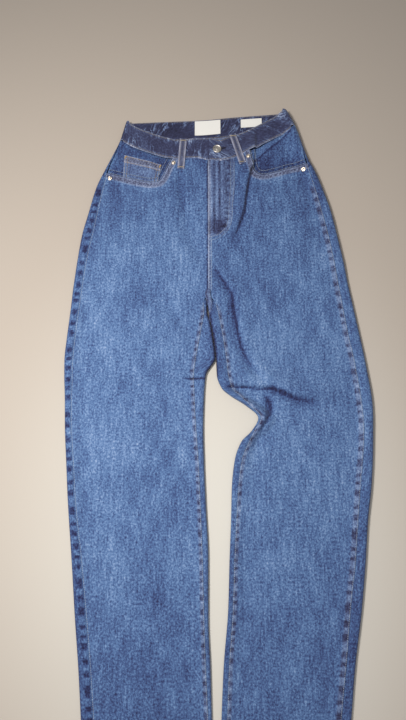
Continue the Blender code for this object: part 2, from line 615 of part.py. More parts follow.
def waistband():
    """One strip of two layers, from the button end round the back to the buttonhole end."""
    rises = np.linspace(0, 1, 4)
    grid = []
    for rise in rises:
        line = []
        r_end, l_end = band_end(RIGHT, rise), band_end(LEFT, rise)
        x_right, x_left = -(r_end[0] - r_end[2]), l_end[0] - l_end[2]
        places = np.array([*WAIST_PLACES, *WAIST_PLACES_AT_SIDE["right"]])
        for x in [BAND_RIGHT_END, 20, 13, 6, *-places[places < 150]]:
            height, z = band_front(np.array(x), rise)
            under = smoothstep((x + 16.0) / 17.0)
            lapped = front_face(np.array(-0.01), height, BAND_PROUD)
            z = (1 - under) * z + under * (lapped + FLY_STEP - BAND - 0.5)
            line.append((x, float(height), float(z)))
        line += [tuple(map(float, band_corner(RIGHT, rise, t))) for t in np.linspace(1, 0, 8)]
        for x in np.linspace(x_right + 6, x_left - 6, 13):
            share = np.array((x - x_right) / (x_left - x_right))
            _, height = band_line(BACK_WAIST_SEAM, BACK_WAIST_EDGE, share, rise)
            line.append((x, float(height), float(rest(height))))
        line += [tuple(map(float, band_corner(LEFT, rise, t))) for t in np.linspace(0, 1, 8)]
        places = np.array([*WAIST_PLACES, *WAIST_PLACES_AT_SIDE["left"]])[::-1]
        for x in [*places[(places < 144) & (places > 5)], BAND_LEFT_END]:
            height, z = band_front(np.array(x), rise)
            line.append((x, float(height), float(z)))
        grid.append(line)
    outside = np.array(grid)
    tangent = np.gradient(outside, axis=1)
    tangent[..., 1] = 0.0
    upward = np.array([0.0, 1.0, 0.0])
    normals = unit(np.cross(np.broadcast_to(upward, tangent.shape), tangent))
    band = wall("waistband", outside, normals, BAND, INDIGO_DARK)
    slot_height, slot_width = 14.0, BUTTONHOLE[1]
    x0 = BUTTON_AT[0] - slot_width / 2
    z = float(front_face(np.array(BUTTON_AT[0]), np.array(BUTTON_AT[1]), BAND_PROUD))
    vertices, faces = rounded_slot(x0, x0 + BUTTONHOLE[0], BUTTON_AT[1], slot_width, z - BAND - 0.25, z + slot_height)
    cutter = add_object("buttonhole_cutter", vertices, faces, STEEL, 0.5)
    cutter.hide_render = True
    cutter.display_type = "WIRE"
    cut = band.modifiers.new("Buttonhole", "BOOLEAN")
    cut.operation, cut.solver, cut.object = "DIFFERENCE", "EXACT", cutter


def rounded_slot(x0, x1, height, width, z0, z1, half=6):
    """Vertices and faces of an upright slot with round ends."""
    radius = width / 2
    ends = [(x1 - radius, -math.pi / 2), (x0 + radius, math.pi / 2)]
    ring = [
        (x + radius * math.cos(start + math.pi * k / half), height + radius * math.sin(start + math.pi * k / half))
        for x, start in ends
        for k in range(half + 1)
    ]
    n = len(ring)
    vertices = [(x, y, z0) for x, y in ring] + [(x, y, z1) for x, y in ring]
    faces = [tuple(range(n))[::-1], tuple(range(n, 2 * n))]
    faces += [(k, (k + 1) % n, n + (k + 1) % n, n + k) for k in range(n)]
    return vertices, faces


def facing_depth(leg, q, height):
    """How far the pocket facing lies under the front's face: deep under the mouth's edge."""
    q_mouth, height_mouth = mouth_curve(leg)
    over = height - np.interp(q, q_mouth[::-1], height_mouth[::-1])
    return 3.7 - 2.5 * smoothstep((over - 8) / 28) * smoothstep((q - 95) / 15)


FACING_FOOT = {"right": 204.0, "left": 222.0}
# The left facing is buckled up towards the waistband along this line: x, height
LEFT_FACING_BUCKLE = ((89, 266), (116, 290), (145, 314), (165, 333))


def facing_face(leg, q, height):
    """The facing's upper face: under the lowest place of the front close by."""
    reach = [(0, 0), (-7, 0), (0, -7), (0, 7), (-7, -7), (-7, 7)]
    near = smoothstep((150 - q) / 30)
    z = np.min([top_height(leg, q + near * dq, height + near * dh) for dq, dh in reach], axis=0)
    z = np.maximum(z - facing_depth(leg, q, height), rest(height) + DENIM + 0.4 + FACING)
    if leg.name == "left":
        over = height - along(LEFT_FACING_BUCKLE, q)
        z = z + 1.3 * smoothstep((over + 1.5) / 3) * smoothstep((q - 100) / 12)
    return z


def pocket_facing(leg):
    """Denim that shows in the pocket mouth, sewn into the side and waist seams."""
    v = np.linspace(1, 0, 7)[:, None]
    q_waist = leg.at("side_seam", 300.0 if leg.name == "right" else 325.0) - 1.2
    q_top = np.array([q_waist, *WAIST_PLACES_AT_SIDE[leg.name][::-1], 57.0, 48.0])[None, :]
    u = (q_waist - q_top) / (q_waist - 48.0)
    top = along(FRONT_WAIST_SEAM, leg.side * q_top) - SEAM_GAP
    height = FACING_FOOT[leg.name] + v * (top - FACING_FOOT[leg.name])
    outer = leg.at("side_seam", height) - 1.2
    q = outer + u * (48.0 - outer)
    z = facing_face(leg, q, height) - FACING
    patch("pocket_facing_" + leg.name, leg.side * q, height, z, FACING, INDIGO)


# Corners of the coin pocket: out from the fly, height
COIN_TOP = ((160.0, 276.0), (89.0, 258.0))
COIN_FOOT = ((163.0, 212.0), (97.0, 207.0))
COIN_GAP = 0.45


def coin_pocket():
    """A small patch on the right facing, tucked under the front panel at its foot."""
    u = np.linspace(0, 1, 7)[None, :]
    v = np.linspace(0, 1, 7)[:, None]
    corners = np.array([COIN_TOP, COIN_FOOT])
    plan = (1 - v)[..., None] * ((1 - u)[..., None] * corners[0, 0] + u[..., None] * corners[0, 1])
    plan = plan + v[..., None] * ((1 - u)[..., None] * corners[1, 0] + u[..., None] * corners[1, 1])
    q, height = plan[..., 0], plan[..., 1]
    patch("coin_pocket", -q, height, facing_face(RIGHT, q, height) + COIN_GAP, FACING, INDIGO)


LOOP_WIDTH, LOOP_THICK, LOOP_BELOW = 13.5, 1.6, 22.0
# Belt loops on the front: x at the band's edge, x at the foot
FRONT_LOOPS = {"belt_loop_front_right": (-47.0, -51.5), "belt_loop_front_left": (48.0, 67.0)}
# Belt loops on the back: x
BACK_LOOPS = {"belt_loop_back_right": -104.0, "belt_loop_back_centre": 0.0, "belt_loop_back_left": 108.0}


def belt_loops():
    """Three loops under the back of the band and two over its front."""
    v = np.linspace(0, 1, 9)[:, None]
    u = np.linspace(-0.5, 0.5, 3)[None, :]
    for name, (x_top, x_foot) in FRONT_LOOPS.items():
        y_top = float(along(FRONT_WAIST_EDGE, x_top)) + 1.0
        y_foot = float(along(FRONT_WAIST_SEAM, x_foot)) - LOOP_BELOW
        lean = math.atan2(x_foot - x_top, y_top - y_foot)
        x = x_top + v * (x_foot - x_top) + u * LOOP_WIDTH * math.cos(lean)
        height = y_top + v * (y_foot - y_top) + u * LOOP_WIDTH * math.sin(lean)
        under = front_face(x, height, BAND_PROUD) + 0.5 + 1.0 * np.sin(math.pi * v) ** 2
        patch(name, x, height, under, LOOP_THICK, INDIGO_PALE)
    v = np.linspace(0, 1, 2)[:, None]
    for name, x_loop in BACK_LOOPS.items():
        y_top = float(along(BACK_WAIST_EDGE, x_loop)) - 0.5
        x = x_loop + u * LOOP_WIDTH + 0 * v
        height = y_top - v * (42.0 + LOOP_BELOW - 6) + 0 * u
        patch(name, x, height, 0 * x, SEAT_LIFT - SEAM_GAP, INDIGO_PALE)


# Back patch pocket: across from its middle, height
POCKET_MIDDLE = {"right": 101.0, "left": 106.0}
POCKET_OUTLINE = ((-71, 232), (71, 226), (64, 105), (0, 82), (-64, 105))


def back_pocket(leg):
    """A five-sided patch on the seat. The garment lies on it, so its face is flat."""
    middle = POCKET_MIDDLE[leg.name]
    ring = [(leg.side * (middle + across), height) for across, height in POCKET_OUTLINE]
    if leg.side < 0:
        ring = ring[::-1]
    n = len(ring)
    top = SEAT_LIFT - SEAM_GAP
    vertices = [(x, y, 0.0) for x, y in ring] + [(x, y, top) for x, y in ring]
    faces = [tuple(range(n)), tuple(range(n, 2 * n))[::-1]]
    faces += [(k, n + k, n + (k + 1) % n, (k + 1) % n) for k in range(n)]
    add_object("back_pocket_" + leg.name, vertices, faces, INDIGO, 0.9)


def fly():
    """Under the left front: the facing, the zip with its slider, and the shield."""
    v = np.linspace(0, 1, 9)[:, None]
    height = FLY_FOOT + 6 + v * (FLY_TOP - FLY_FOOT - 6)
    wide = 14 + 30 * smoothstep(v / 0.25)
    u = np.linspace(0, 1, 5)[None, :]
    x = 1.5 + u * wide
    under = front_face(x, height) - DENIM - FLY_CLEAR - FACING
    patch("fly_facing", x, height + 0 * u, under, FACING, INDIGO)
    x = -7 + u * 30 + 0 * v
    deep = front_face(np.maximum(x, 0.01), height)
    patch("zip", x, height + 4 + 0 * u, deep - ZIP_DEPTH - ZIP_THICK, ZIP_THICK, INDIGO_DARK)
    x = -16 + u * 50 + 0 * v
    deep = front_face(np.maximum(x, 0.01), height)
    patch("fly_shield", x, height + 4 + 0 * u, deep - SHIELD_DEPTH - SHIELD_THICK, SHIELD_THICK, INDIGO)
    v, u = np.linspace(0, 1, 3)[:, None], np.linspace(-0.5, 0.5, 3)[None, :]
    x, height = 8.0 + u * 7 + 0 * v, FLY_TOP - 26 + v * 24 + 0 * u
    under = front_face(x, height) - SLIDER_DEPTH - SLIDER_THICK
    patch("zip_slider", x, height, under, SLIDER_THICK, STEEL)


def button():
    """A shank button: a foot on the lower end of the band, a neck and a domed head."""
    at = np.array(BUTTON_AT[0]), np.array(BUTTON_AT[1])
    face = float(front_face(*at, BAND_PROUD))
    lower = float(front_face(np.array(-0.01), at[1], BAND_PROUD)) + FLY_STEP - BAND - 0.5
    neck, head = 2.2, BUTTON_RADIUS
    foot = lower + 0.3
    profile = (
        (neck, foot), (neck, face + 0.35), (head - 0.6, face + 0.35), (head, face + 0.9), (head, face + 1.6),
        (head - 1.2, face + 2.5), (head - 2.4, face + 2.3), (3.4, face + 2.4), (1.2, face + 2.8),
    )
    turned("button", BUTTON_AT, profile, STEEL, 0.35, 0.9, 28)


def top_of(solid, centre):
    """A function that gives the height of the solid's upper face. Beyond its edge, the centre's."""
    mesh = solid.data
    mesh.calc_loop_triangles()
    tree = BVHTree.FromPolygons([v.co for v in mesh.vertices], [t.vertices for t in mesh.loop_triangles])

    def height_at(x, y):
        for place in ((float(x), float(y)), centre):
            start = ((place[0] + PLACE[0]) * MM, (place[1] + PLACE[1]) * MM, 1.0)
            hit = tree.ray_cast(start, (0.0, 0.0, -1.0))[0]
            if hit is not None:
                return hit[2] / MM
        raise ValueError(solid.name)

    return height_at


def rivets():
    """Four domed rivets at the corners of the front pockets."""
    r = RIVET_RADIUS
    profile = ((r - 0.4, 0.4), (r, 0.7), (r - 0.5, 1.3), (r - 2.2, 1.8))
    for name, centre in RIVETS.items():
        panel = bpy.data.objects["front_right" if centre[0] < 0 else "front_left"]
        turned(name, centre, profile, STEEL, 0.35, 0.9, 16, top_of(panel, centre))


def hem(leg):
    """The turned-up foot of a leg: a closed ring of doubled cloth, flattened."""
    height = np.array([HEM_HEIGHT + HEM_DEPTH, HEM_HEIGHT + HEM_DEPTH / 2, HEM_HEIGHT])[:, None]
    c = BACK_COLUMNS[None, ::-1]
    outside_back, normals_back = back_points(leg, c + 0 * height, height + 0 * c)
    u = np.linspace(0, 1, 12)[None, 1:-1]
    side, inner = leg.at("side_seam", height), leg.at("inseam", height)
    q = side + u * (inner - side)
    height_front = height + 0 * u
    z = top_height(leg, q, height_front)
    normals_front = np.zeros((*z.shape, 3))
    normals_front[..., 2] = 1.0
    outside_front = points(leg.side * q, height_front, z)
    outside = np.concatenate([outside_front, outside_back], axis=1)
    normals = np.concatenate([normals_front, normals_back], axis=1)
    wall("hem_" + leg.name, outside, normals, HEM, INDIGO, ring=True)


# Labels inside the back of the waistband: right edge, left edge, top below the edge, depth
LABELS = {"label_main": (-25.0, 25.0, 3.0, 31.0), "label_side": (65.0, 106.0, 7.0, 18.0)}
LABEL_THICK = 0.5


def labels():
    """Two blank woven labels sewn to the inner face of the back waistband."""
    u = np.linspace(0, 1, 5)[None, :]
    v = np.linspace(0, 1, 3)[:, None]
    for name, (x0, x1, below, depth) in LABELS.items():
        x = x0 + u * (x1 - x0) + 0 * v
        height = along(BACK_WAIST_EDGE, x) - below - v * depth
        patch(name, x, height, rest(height) + BAND + SEAM_GAP, LABEL_THICK, LABEL_WHITE)


def main():
    for old in list(bpy.data.objects):
        bpy.data.objects.remove(old, do_unlink=True)
    for leg in (RIGHT, LEFT):
        front_panel(leg)
        back_panel(leg)
        yoke(leg)
        pocket_facing(leg)
        back_pocket(leg)
        hem(leg)
    waistband()
    coin_pocket()
    belt_loops()
    fly()
    button()
    rivets()
    labels()


main()
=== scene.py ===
import math

import bpy
import numpy as np
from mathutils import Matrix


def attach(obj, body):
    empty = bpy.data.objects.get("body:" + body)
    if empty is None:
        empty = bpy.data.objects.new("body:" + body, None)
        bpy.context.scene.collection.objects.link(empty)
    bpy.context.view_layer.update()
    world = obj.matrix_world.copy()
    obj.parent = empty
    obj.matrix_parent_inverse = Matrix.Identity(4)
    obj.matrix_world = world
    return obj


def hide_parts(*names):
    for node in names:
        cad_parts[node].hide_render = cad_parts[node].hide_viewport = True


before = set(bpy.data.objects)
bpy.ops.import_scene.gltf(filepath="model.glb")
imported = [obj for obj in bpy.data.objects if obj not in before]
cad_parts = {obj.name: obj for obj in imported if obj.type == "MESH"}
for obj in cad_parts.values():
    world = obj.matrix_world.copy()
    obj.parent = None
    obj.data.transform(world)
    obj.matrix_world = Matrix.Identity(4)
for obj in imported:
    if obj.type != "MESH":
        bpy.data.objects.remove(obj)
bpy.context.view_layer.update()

# The table, the light and the camera. The jeans lie on a pale beige sheet of paper under one
# large lamp to their upper left. The camera hangs over the thighs, 98 cm up, and leans 12
# degrees towards the waist, so the legs run out of the picture.
PLACE = np.array([-15.9, 190.0])  # from the crotch point to the part's origin, in millimetres
CAMERA_OVER = (-9.0, -332.0)  # the point of the table under the lens, from the crotch point

paper_material = bpy.data.materials.new("beige_paper")
paper_material.use_nodes = True
nodes, links = paper_material.node_tree.nodes, paper_material.node_tree.links
shader = nodes["Principled BSDF"]
shader.inputs["Roughness"].default_value = 0.85
where = nodes.new("ShaderNodeTexCoord")
middle = nodes.new("ShaderNodeMapping")
middle.inputs["Location"].default_value = (0.0, 0.40, 0.0)
middle.inputs["Scale"].default_value = (1.9, 1.35, 1.0)
# The paper's colour is painted lighter in a broad round pool near the middle and darker outwards: a painted pool of
# light.
fade = nodes.new("ShaderNodeTexGradient")
fade.gradient_type = "SPHERICAL"
tint = nodes.new("ShaderNodeValToRGB")
tint.color_ramp.interpolation = "EASE"
tint.color_ramp.elements[0].position, tint.color_ramp.elements[0].color = 0.0, (0.435, 0.378, 0.322, 1)
tint.color_ramp.elements[1].position, tint.color_ramp.elements[1].color = 0.9, (0.600, 0.575, 0.520, 1)
links.new(where.outputs["Object"], middle.inputs["Vector"])
links.new(middle.outputs["Vector"], fade.inputs["Vector"])
links.new(fade.outputs["Fac"], tint.inputs["Fac"])
links.new(tint.outputs["Color"], shader.inputs["Base Color"])
paper_mesh = bpy.data.meshes.new("paper")
paper_mesh.from_pydata(
    [(-4, -4, -0.0004), (4, -4, -0.0004), (4, 4, -0.0004), (-4, 4, -0.0004)], [], [(0, 1, 2, 3)]
)
paper_mesh.materials.append(paper_material)
paper = bpy.data.objects.new("paper", paper_mesh)
bpy.context.scene.collection.objects.link(paper)


def lamp(name, place, aim, size, power, colour):
    """A square area light at place, turned towards aim."""
    data = bpy.data.lights.new(name, "AREA")
    data.shape, data.size, data.energy, data.color = "SQUARE", size, power, colour
    light = bpy.data.objects.new(name, data)
    light.location = place
    towards = np.array(aim, float) - np.array(place, float)
    flat = math.hypot(towards[0], towards[1])
    light.rotation_euler = (math.atan2(flat, -towards[2]), 0.0, math.atan2(towards[0], -towards[1]) + math.pi)
    bpy.context.scene.collection.objects.link(light)


lamp("key_lamp", (-0.50, 0.10, 1.12), (0.0, -0.22, 0.0), 0.24, 17.0, (1.0, 0.97, 0.93))
lamp("fill_lamp", (0.20, -0.35, 1.5), (0.0, -0.25, 0.0), 0.9, 3.5, (1.0, 0.985, 0.965))
world = bpy.data.worlds.new("studio")
world.use_nodes = True
world.node_tree.nodes["Background"].inputs["Color"].default_value = (0.93, 0.95, 1.0, 1.0)
world.node_tree.nodes["Background"].inputs["Strength"].default_value = 0.28
bpy.context.scene.world = world
bpy.context.scene.view_settings.view_transform = "Standard"

camera_data = bpy.data.cameras.new("camera")
camera_data.lens, camera_data.sensor_width = 28.0, 36.0
camera = bpy.data.objects.new("camera", camera_data)
camera.location = ((CAMERA_OVER[0] + PLACE[0]) / 1000, (CAMERA_OVER[1] + PLACE[1]) / 1000, 0.982)
camera.rotation_euler = (math.radians(12.0), 0.0, 0.0)
bpy.context.scene.collection.objects.link(camera)
bpy.context.scene.camera = camera

# Front panels: two pieces of stonewashed denim, from the side seams to the fly and the inseams,
# with the pocket mouths scooped out. They lie on the backs. Sizes are in millimetres from the
# crotch point, and q runs out from the fly line, so it is positive on both legs.
DENIM = 1.4
SEAM_GAP = 0.3
HEM_HEIGHT, HEM_DEPTH = -752.0, 15.0
SEAT_LIFT = 1.7
SECTION_COLUMNS = ("height", "outer", "side_seam", "inseam", "inner", "outer_roll", "inner_roll")
RIGHT_SECTIONS = (
    (351, 159.0, 158.5, 0.5, 0.0, 5.2, 4.5),
    (309, 170.0, 169.5, 0.5, 0.0, 5.2, 4.5),
    (280, 182.0, 178.0, 0.5, 0.0, 5.2, 4.5),
    (250, 195.5, 190.0, 0.5, 0.0, 5.2, 4.5),
    (210, 212.0, 199.0, 0.5, 0.0, 5.2, 4.5),
    (154, 225.5, 209.5, 0.5, 0.0, 5.3, 4.5),
    (112, 235.0, 216.5, 0.5, 0.0, 5.4, 4.5),
    (64, 241.0, 225.0, 0.5, 0.0, 5.5, 4.5),
    (0, 247.5, 232.5, 2.0, 1.0, 5.5, 4.5),
    (-14, 248.3, 234.0, 7.0, 1.2, 5.5, 4.5),
    (-36, 249.8, 235.8, 6.0, 1.0, 5.5, 4.5),
    (-53, 251.2, 237.5, 8.5, -3.5, 5.5, 4.6),
    (-88, 254.0, 240.0, 15.0, -9.5, 5.5, 4.8),
    (-120, 256.0, 242.0, 20.5, -13.2, 5.5, 4.8),
    (-153, 254.8, 241.6, 24.5, 4.0, 5.5, 4.8),
    (-190, 252.0, 240.5, 23.0, 7.0, 5.4, 4.8),
    (-245, 249.0, 238.0, 20.0, 8.5, 5.3, 4.7),
    (-307, 243.5, 232.0, 15.5, 7.0, 5.2, 4.6),
    (-367, 238.0, 226.0, 12.5, 4.5, 5.0, 4.5),
    (-463, 227.0, 211.5, 8.5, 0.0, 4.8, 4.4),
    (-555, 217.0, 199.0, 6.0, 0.0, 4.6, 4.3),
    (-626, 208.5, 190.0, 3.5, -3.0, 4.4, 4.2),
    (-701, 201.0, 182.0, 0.0, -5.0, 4.2, 4.1),
    (-752, 196.0, 176.0, -2.0, -7.0, 4.2, 4.1),
)
LEFT_SECTIONS = (
    (372, 155.0, 154.5, 0.5, 0.0, 9.0, 4.5),
    (337, 171.0, 170.5, 0.5, 0.0, 9.0, 4.5),
    (294, 184.0, 182.0, 0.5, 0.0, 8.6, 4.5),
    (268, 193.0, 186.5, 0.5, 0.0, 8.2, 4.5),
    (243, 205.0, 193.5, 0.5, 0.0, 7.8, 4.5),
    (210, 217.0, 203.0, 0.5, 0.0, 7.2, 4.5),
    (160, 232.0, 215.0, 0.5, 0.0, 6.6, 4.5),
    (112, 241.5, 225.0, 0.5, 0.0, 6.2, 4.5),
    (64, 250.0, 233.0, 0.5, 0.0, 6.0, 4.5),
    (0, 259.5, 241.5, 3.0, 1.0, 6.0, 4.5),
    (-14, 262.0, 243.5, 11.0, 1.2, 6.0, 4.5),
    (-36, 265.5, 246.5, 17.0, 1.6, 6.0, 4.6),
    (-51, 268.0, 248.5, 20.0, 4.0, 6.0, 4.7),
    (-88, 274.0, 254.0, 26.5, 10.2, 6.0, 4.9),
    (-120, 278.8, 259.8, 31.0, 13.9, 6.2, 5.2),
    (-153, 283.2, 264.3, 34.5, 15.5, 6.4, 6.0),
    (-176, 286.0, 267.0, 41.0, 24.0, 6.5, 7.0),
    (-190, 287.3, 268.5, 55.0, 40.0, 6.5, 7.6),
    (-206, 288.0, 269.6, 70.5, 65.0, 6.5, 8.2),
    (-228, 287.6, 270.6, 90.0, 87.0, 6.5, 8.4),
    (-250, 286.2, 270.3, 79.0, 75.5, 6.4, 7.8),
    (-269, 285.0, 269.0, 69.0, 57.0, 6.3, 7.0),
    (-300, 282.6, 265.5, 56.5, 45.5, 6.1, 6.0),
    (-345, 277.5, 259.0, 50.0, 40.0, 5.8, 5.2),
    (-400, 268.5, 252.0, 46.0, 38.0, 5.5, 4.8),
    (-463, 261.0, 244.5, 42.0, 35.0, 5.2, 4.6),
    (-540, 250.0, 232.0, 38.5, 32.0, 4.9, 4.4),
    (-626, 234.5, 220.0, 31.5, 24.0, 4.6, 4.2),
    (-701, 224.0, 209.0, 28.0, 20.0, 4.4, 4.1),
    (-752, 217.0, 203.0, 26.0, 18.0, 4.4, 4.1),
)
LIE = (
    (380, 9.0), (230, 9.0), (120, 8.5), (20, 8.2), (-100, 7.0), (-250, 6.4), (-500, 6.0), (-690, 6.0),
    (-752, 6.6)
)
EDGE_BLEND = 26.0
FRONT_WAIST_SEAM = (
    (-170, 309), (-140, 292), (-110, 281), (-80, 272), (-58, 270), (-39, 271), (-22, 271),
    (1, 265), (23, 263), (55, 273), (70, 282), (97, 296), (127, 312), (158, 328), (171, 337),
)
RIGHT_MOUTH = ((194, 238), (165, 231), (138, 224), (108, 219), (94, 221), (85, 231), (78, 248), (67, 271))
LEFT_MOUTH = ((188, 255), (157, 249), (128, 240), (106, 235), (94, 238), (87, 250), (84, 266), (80, 287))
FLY_STEP = 1.8
# The double row of stitching round the fly: x, height
FLY_STITCH = ((44, 262), (43.5, 216), (40, 171), (39, 148), (34, 128), (24, 116), (12, 109), (2, 107))
# Folds that run down: x of the fold's bottom by height
FLY_CREASE = (
    (300, 93), (264, 90), (245, 82), (219, 76), (187, 71), (164, 68), (140, 60), (114, 50), (90, 36)
)
CROTCH_CREASE = (
    (60, 8), (44, 15), (17, 33), (-5, 44), (-26, 46), (-50, 50), (-89, 57), (-122, 69), (-155, 93),
    (-173, 108)
)
NOTCH_CREASE = (
    (-185, 99), (-200, 107), (-213, 109), (-228, 104), (-252, 90), (-283, 84), (-334, 82), (-415, 80)
)
LOOP_PLEAT = ((250, -54), (235, -53), (190, -49), (140, -38), (90, -24), (60, -12))
# Folds that run across: height of the fold's bottom by x
KNEE_CREASE = (
    (30, -172), (67, -173), (94, -176), (108, -175), (134, -184), (160, -195), (195, -199), (238, -204)
)
THIGH_CREASE = ((-118, 17), (-76, -21), (-45, -58), (-30, -82))


def smoothstep(t):
    t = np.clip(t, 0.0, 1.0)
    return t * t * (3.0 - 2.0 * t)


def bell(t):
    return np.exp(-t * t)


def through(knots, values, at):
    """A smooth curve through the knots that never swings past them (monotone cubic)."""
    knots, values = np.asarray(knots, float), np.asarray(values, float)
    if knots[0] > knots[-1]:
        knots, values = knots[::-1], values[::-1]
    step = np.diff(knots)
    slope = np.diff(values) / step
    total = np.where(slope[:-1] + slope[1:] == 0, 1, slope[:-1] + slope[1:])
    inner = np.where(slope[:-1] * slope[1:] > 0, 2 * slope[:-1] * slope[1:] / total, 0.0)
    tangent = np.concatenate([[slope[0]], inner, [slope[-1]]])
    at = np.clip(np.asarray(at, float), knots[0], knots[-1])
    i = np.clip(np.searchsorted(knots, at) - 1, 0, len(step) - 1)
    t = (at - knots[i]) / step[i]
    return (
        values[i] * (1 + 2 * t) * (1 - t) ** 2
        + values[i + 1] * t * t * (3 - 2 * t)
        + step[i] * (tangent[i] * t * (1 - t) ** 2 - tangent[i + 1] * t * t * (1 - t))
    )


def along(table, at):
    """Reads a two-column table as a smooth curve."""
    return through([row[0] for row in table], [row[1] for row in table], at)


def mottle(x, y, cell, seed=0.0):
    """Smooth unevenness from -1 to 1: a lattice of fixed odd values, blended between its points."""
    x, y = np.asarray(x, float) / cell, np.asarray(y, float) / cell
    i, j = np.floor(x), np.floor(y)
    fx, fy = smoothstep(x - i), smoothstep(y - j)

    def odd(a, b):
        value = np.sin(a * 127.1 + b * 311.7 + seed * 74.7) * 43758.5453
        return 2 * (value - np.floor(value)) - 1

    low = odd(i, j) * (1 - fx) + odd(i + 1, j) * fx
    high = odd(i, j + 1) * (1 - fx) + odd(i + 1, j + 1) * fx
    return low * (1 - fy) + high * fy


class Leg:
    """One half of the jeans and its sections."""

    def __init__(self, name, side, sections, mouth):
        self.name, self.side = name, side
        self.sections = dict(zip(SECTION_COLUMNS, np.array(sections, float).T))
        line = np.array(mouth, float)
        chord = np.concatenate([[0], np.cumsum(np.linalg.norm(np.diff(line, axis=0), axis=1))])
        at = np.linspace(0, chord[-1], 120)
        self.mouth = np.stack([through(chord, line[:, 0], at), through(chord, line[:, 1], at)], axis=1)
        self.mouth[0, 0] = self.at("side_seam", self.mouth[0, 1]) - SEAM_GAP / 2
        self.mouth[-1, 1] = along(FRONT_WAIST_SEAM, side * self.mouth[-1, 0]) - SEAM_GAP

    def at(self, column, height):
        return through(self.sections["height"], self.sections[column], height)

    def from_mouth(self, q, height):
        """Distance to the pocket mouth's edge."""
        q, height = np.broadcast_arrays(q, height)
        nearest = np.full(q.shape, 1e9)
        for a, b in zip(self.mouth[:-1:3], self.mouth[3::3]):
            run = b - a
            t = np.clip(((q - a[0]) * run[0] + (height - a[1]) * run[1]) / (run @ run), 0, 1)
            nearest = np.minimum(nearest, np.hypot(q - a[0] - t * run[0], height - a[1] - t * run[1]))
        return nearest


RIGHT = Leg("right", -1, RIGHT_SECTIONS, RIGHT_MOUTH)
LEFT = Leg("left", 1, LEFT_SECTIONS, LEFT_MOUTH)


def rest(height):
    """Height of the underside over the table: the seat lies on its pockets and loops."""
    return SEAT_LIFT * smoothstep((height - 20.0) / 40.0)


def folds(x, height):
    """The folds of the front: soft troughs and ridges along the creases' lines."""
    z = np.zeros(np.broadcast(x, height).shape)
    d = x - along(FLY_CREASE, height)
    run = smoothstep((height - 95) / 60) * smoothstep((345 - height) / 60) * smoothstep(x / 15)
    z += run * (4.6 * smoothstep((d + 30) / 26) * (1 - smoothstep((d + 1.5) / 4)) - 3.0 * bell((d - 4.5) / 5))
    z += 2.8 * bell((x - 14) / 34) * smoothstep((height - 70) / 50) * smoothstep((330 - height) / 30)
    z += FLY_STEP * smoothstep((height - 85) / 25) * (x > 0) * smoothstep((60 - x) / 35)
    d = x - along(LOOP_PLEAT, height)
    widen = 6 + 10 * smoothstep((235 - height) / 120)
    z -= 3.4 * bell(d / widen) * smoothstep((height - 50) / 40) * smoothstep((250 - height) / 25)
    d = x - along(CROTCH_CREASE, height)
    run = smoothstep((52 - height) / 40) * smoothstep((height + 182) / 40)
    z -= run * np.where(d < 0, 3.8 * bell(d / 12), 3.8 * bell(d / 3.5))
    z += run * 1.6 * bell((d - 14) / 12)
    d = height - along(KNEE_CREASE, x)
    run = smoothstep((x - 22) / 35) * smoothstep((250 - x) / 90)
    z += run * (
        5.6 * smoothstep((46 - d) / 38) * smoothstep((d + 1) / (5 + 10 * smoothstep((x - 120) / 60))) - 3.0 * bell((d + 4) / 6)
    )
    d = x - along(NOTCH_CREASE, height)
    z -= 3.6 * smoothstep((-183 - height) / 14) * smoothstep((height + 300) / 60) * bell(d / 7)
    z -= 1.6 * smoothstep((-240 - height) / 40) * smoothstep((height + 440) / 150) * bell(d / 16)
    d = height - along(THIGH_CREASE, x)
    z -= 1.8 * smoothstep((x + 150) / 40) * smoothstep((-14 - x) / 20) * bell(d / 17)
    run = smoothstep((-75 - height) / 40) * smoothstep((height + 235) / 40) * smoothstep((-20 - x) / 30)
    z += 1.5 * run * np.cos(2 * math.pi * (height + 153 + 0.05 * x) / 54)
    run = smoothstep((x + 48) / 18) * (x < 12)
    return z - 2.6 * run * bell((height + 158) / 2.2)


def painted_crease_shade(x, height):
    """How deep a place lies in a sharp fold, 0 to 1. Little light falls in there, and this is the painted shade that
    darkens the creases' colour.
    """
    d = x - along(FLY_CREASE, height)
    deep = 0.9 * smoothstep((height - 95) / 50) * smoothstep((335 - height) / 60) * smoothstep(x / 15) * bell(
        (d - 1.5) / 2.4
    )
    d = x - along(CROTCH_CREASE, height)
    run = smoothstep((60 - height) / 30) * smoothstep((height + 175) / 70)
    deep += run * (0.72 * bell(d / 2.8) + 0.34 * bell((d + 5) / 8))
    d = height - along(KNEE_CREASE, x)
    deep += bell((d + 0.5) / (1.7 + 1.6 * smoothstep((x - 90) / 40))) * smoothstep((x - 26) / 10) * smoothstep(
        (205 - x) / 75
    )
    deep += 0.30 * bell((d + 4) / 8) * smoothstep((x - 60) / 60) * smoothstep((235 - x) / 90)
    d = x - along(NOTCH_CREASE, height)
    deep += smoothstep((-184 - height) / 14) * smoothstep((height + 262) / 50) * (
        0.75 * bell(d / 3.4) + 0.4 * bell((d + 2) / 9)
    )
    deep += bell((height + 158) / 1.5) * smoothstep((x + 44) / 10) * (x < 14)
    d = x - along(LOOP_PLEAT, height)
    deep += 0.22 * bell(d / 6) * smoothstep((height - 120) / 60) * smoothstep((240 - height) / 20)
    return np.clip(deep, 0, 1)


def sway(x, height):
    """Slow unevenness of cloth that nobody pressed."""
    return (
        0.5 * np.sin(x / 31.0 + height / 47.0 + 0.6)
        + 0.45 * np.sin(x / 58.0 - height / 83.0 + 2.1)
        + 0.35 * np.sin(height / 29.0 + x / 90.0)
    )


def edge_drop(distance, roll):
    """How far a rolled edge of that radius has dropped at a distance in from the outline."""
    d = np.clip(distance, 0.0, roll)
    return roll - np.sqrt(np.maximum(roll * roll - (roll - d) ** 2, 0.0))


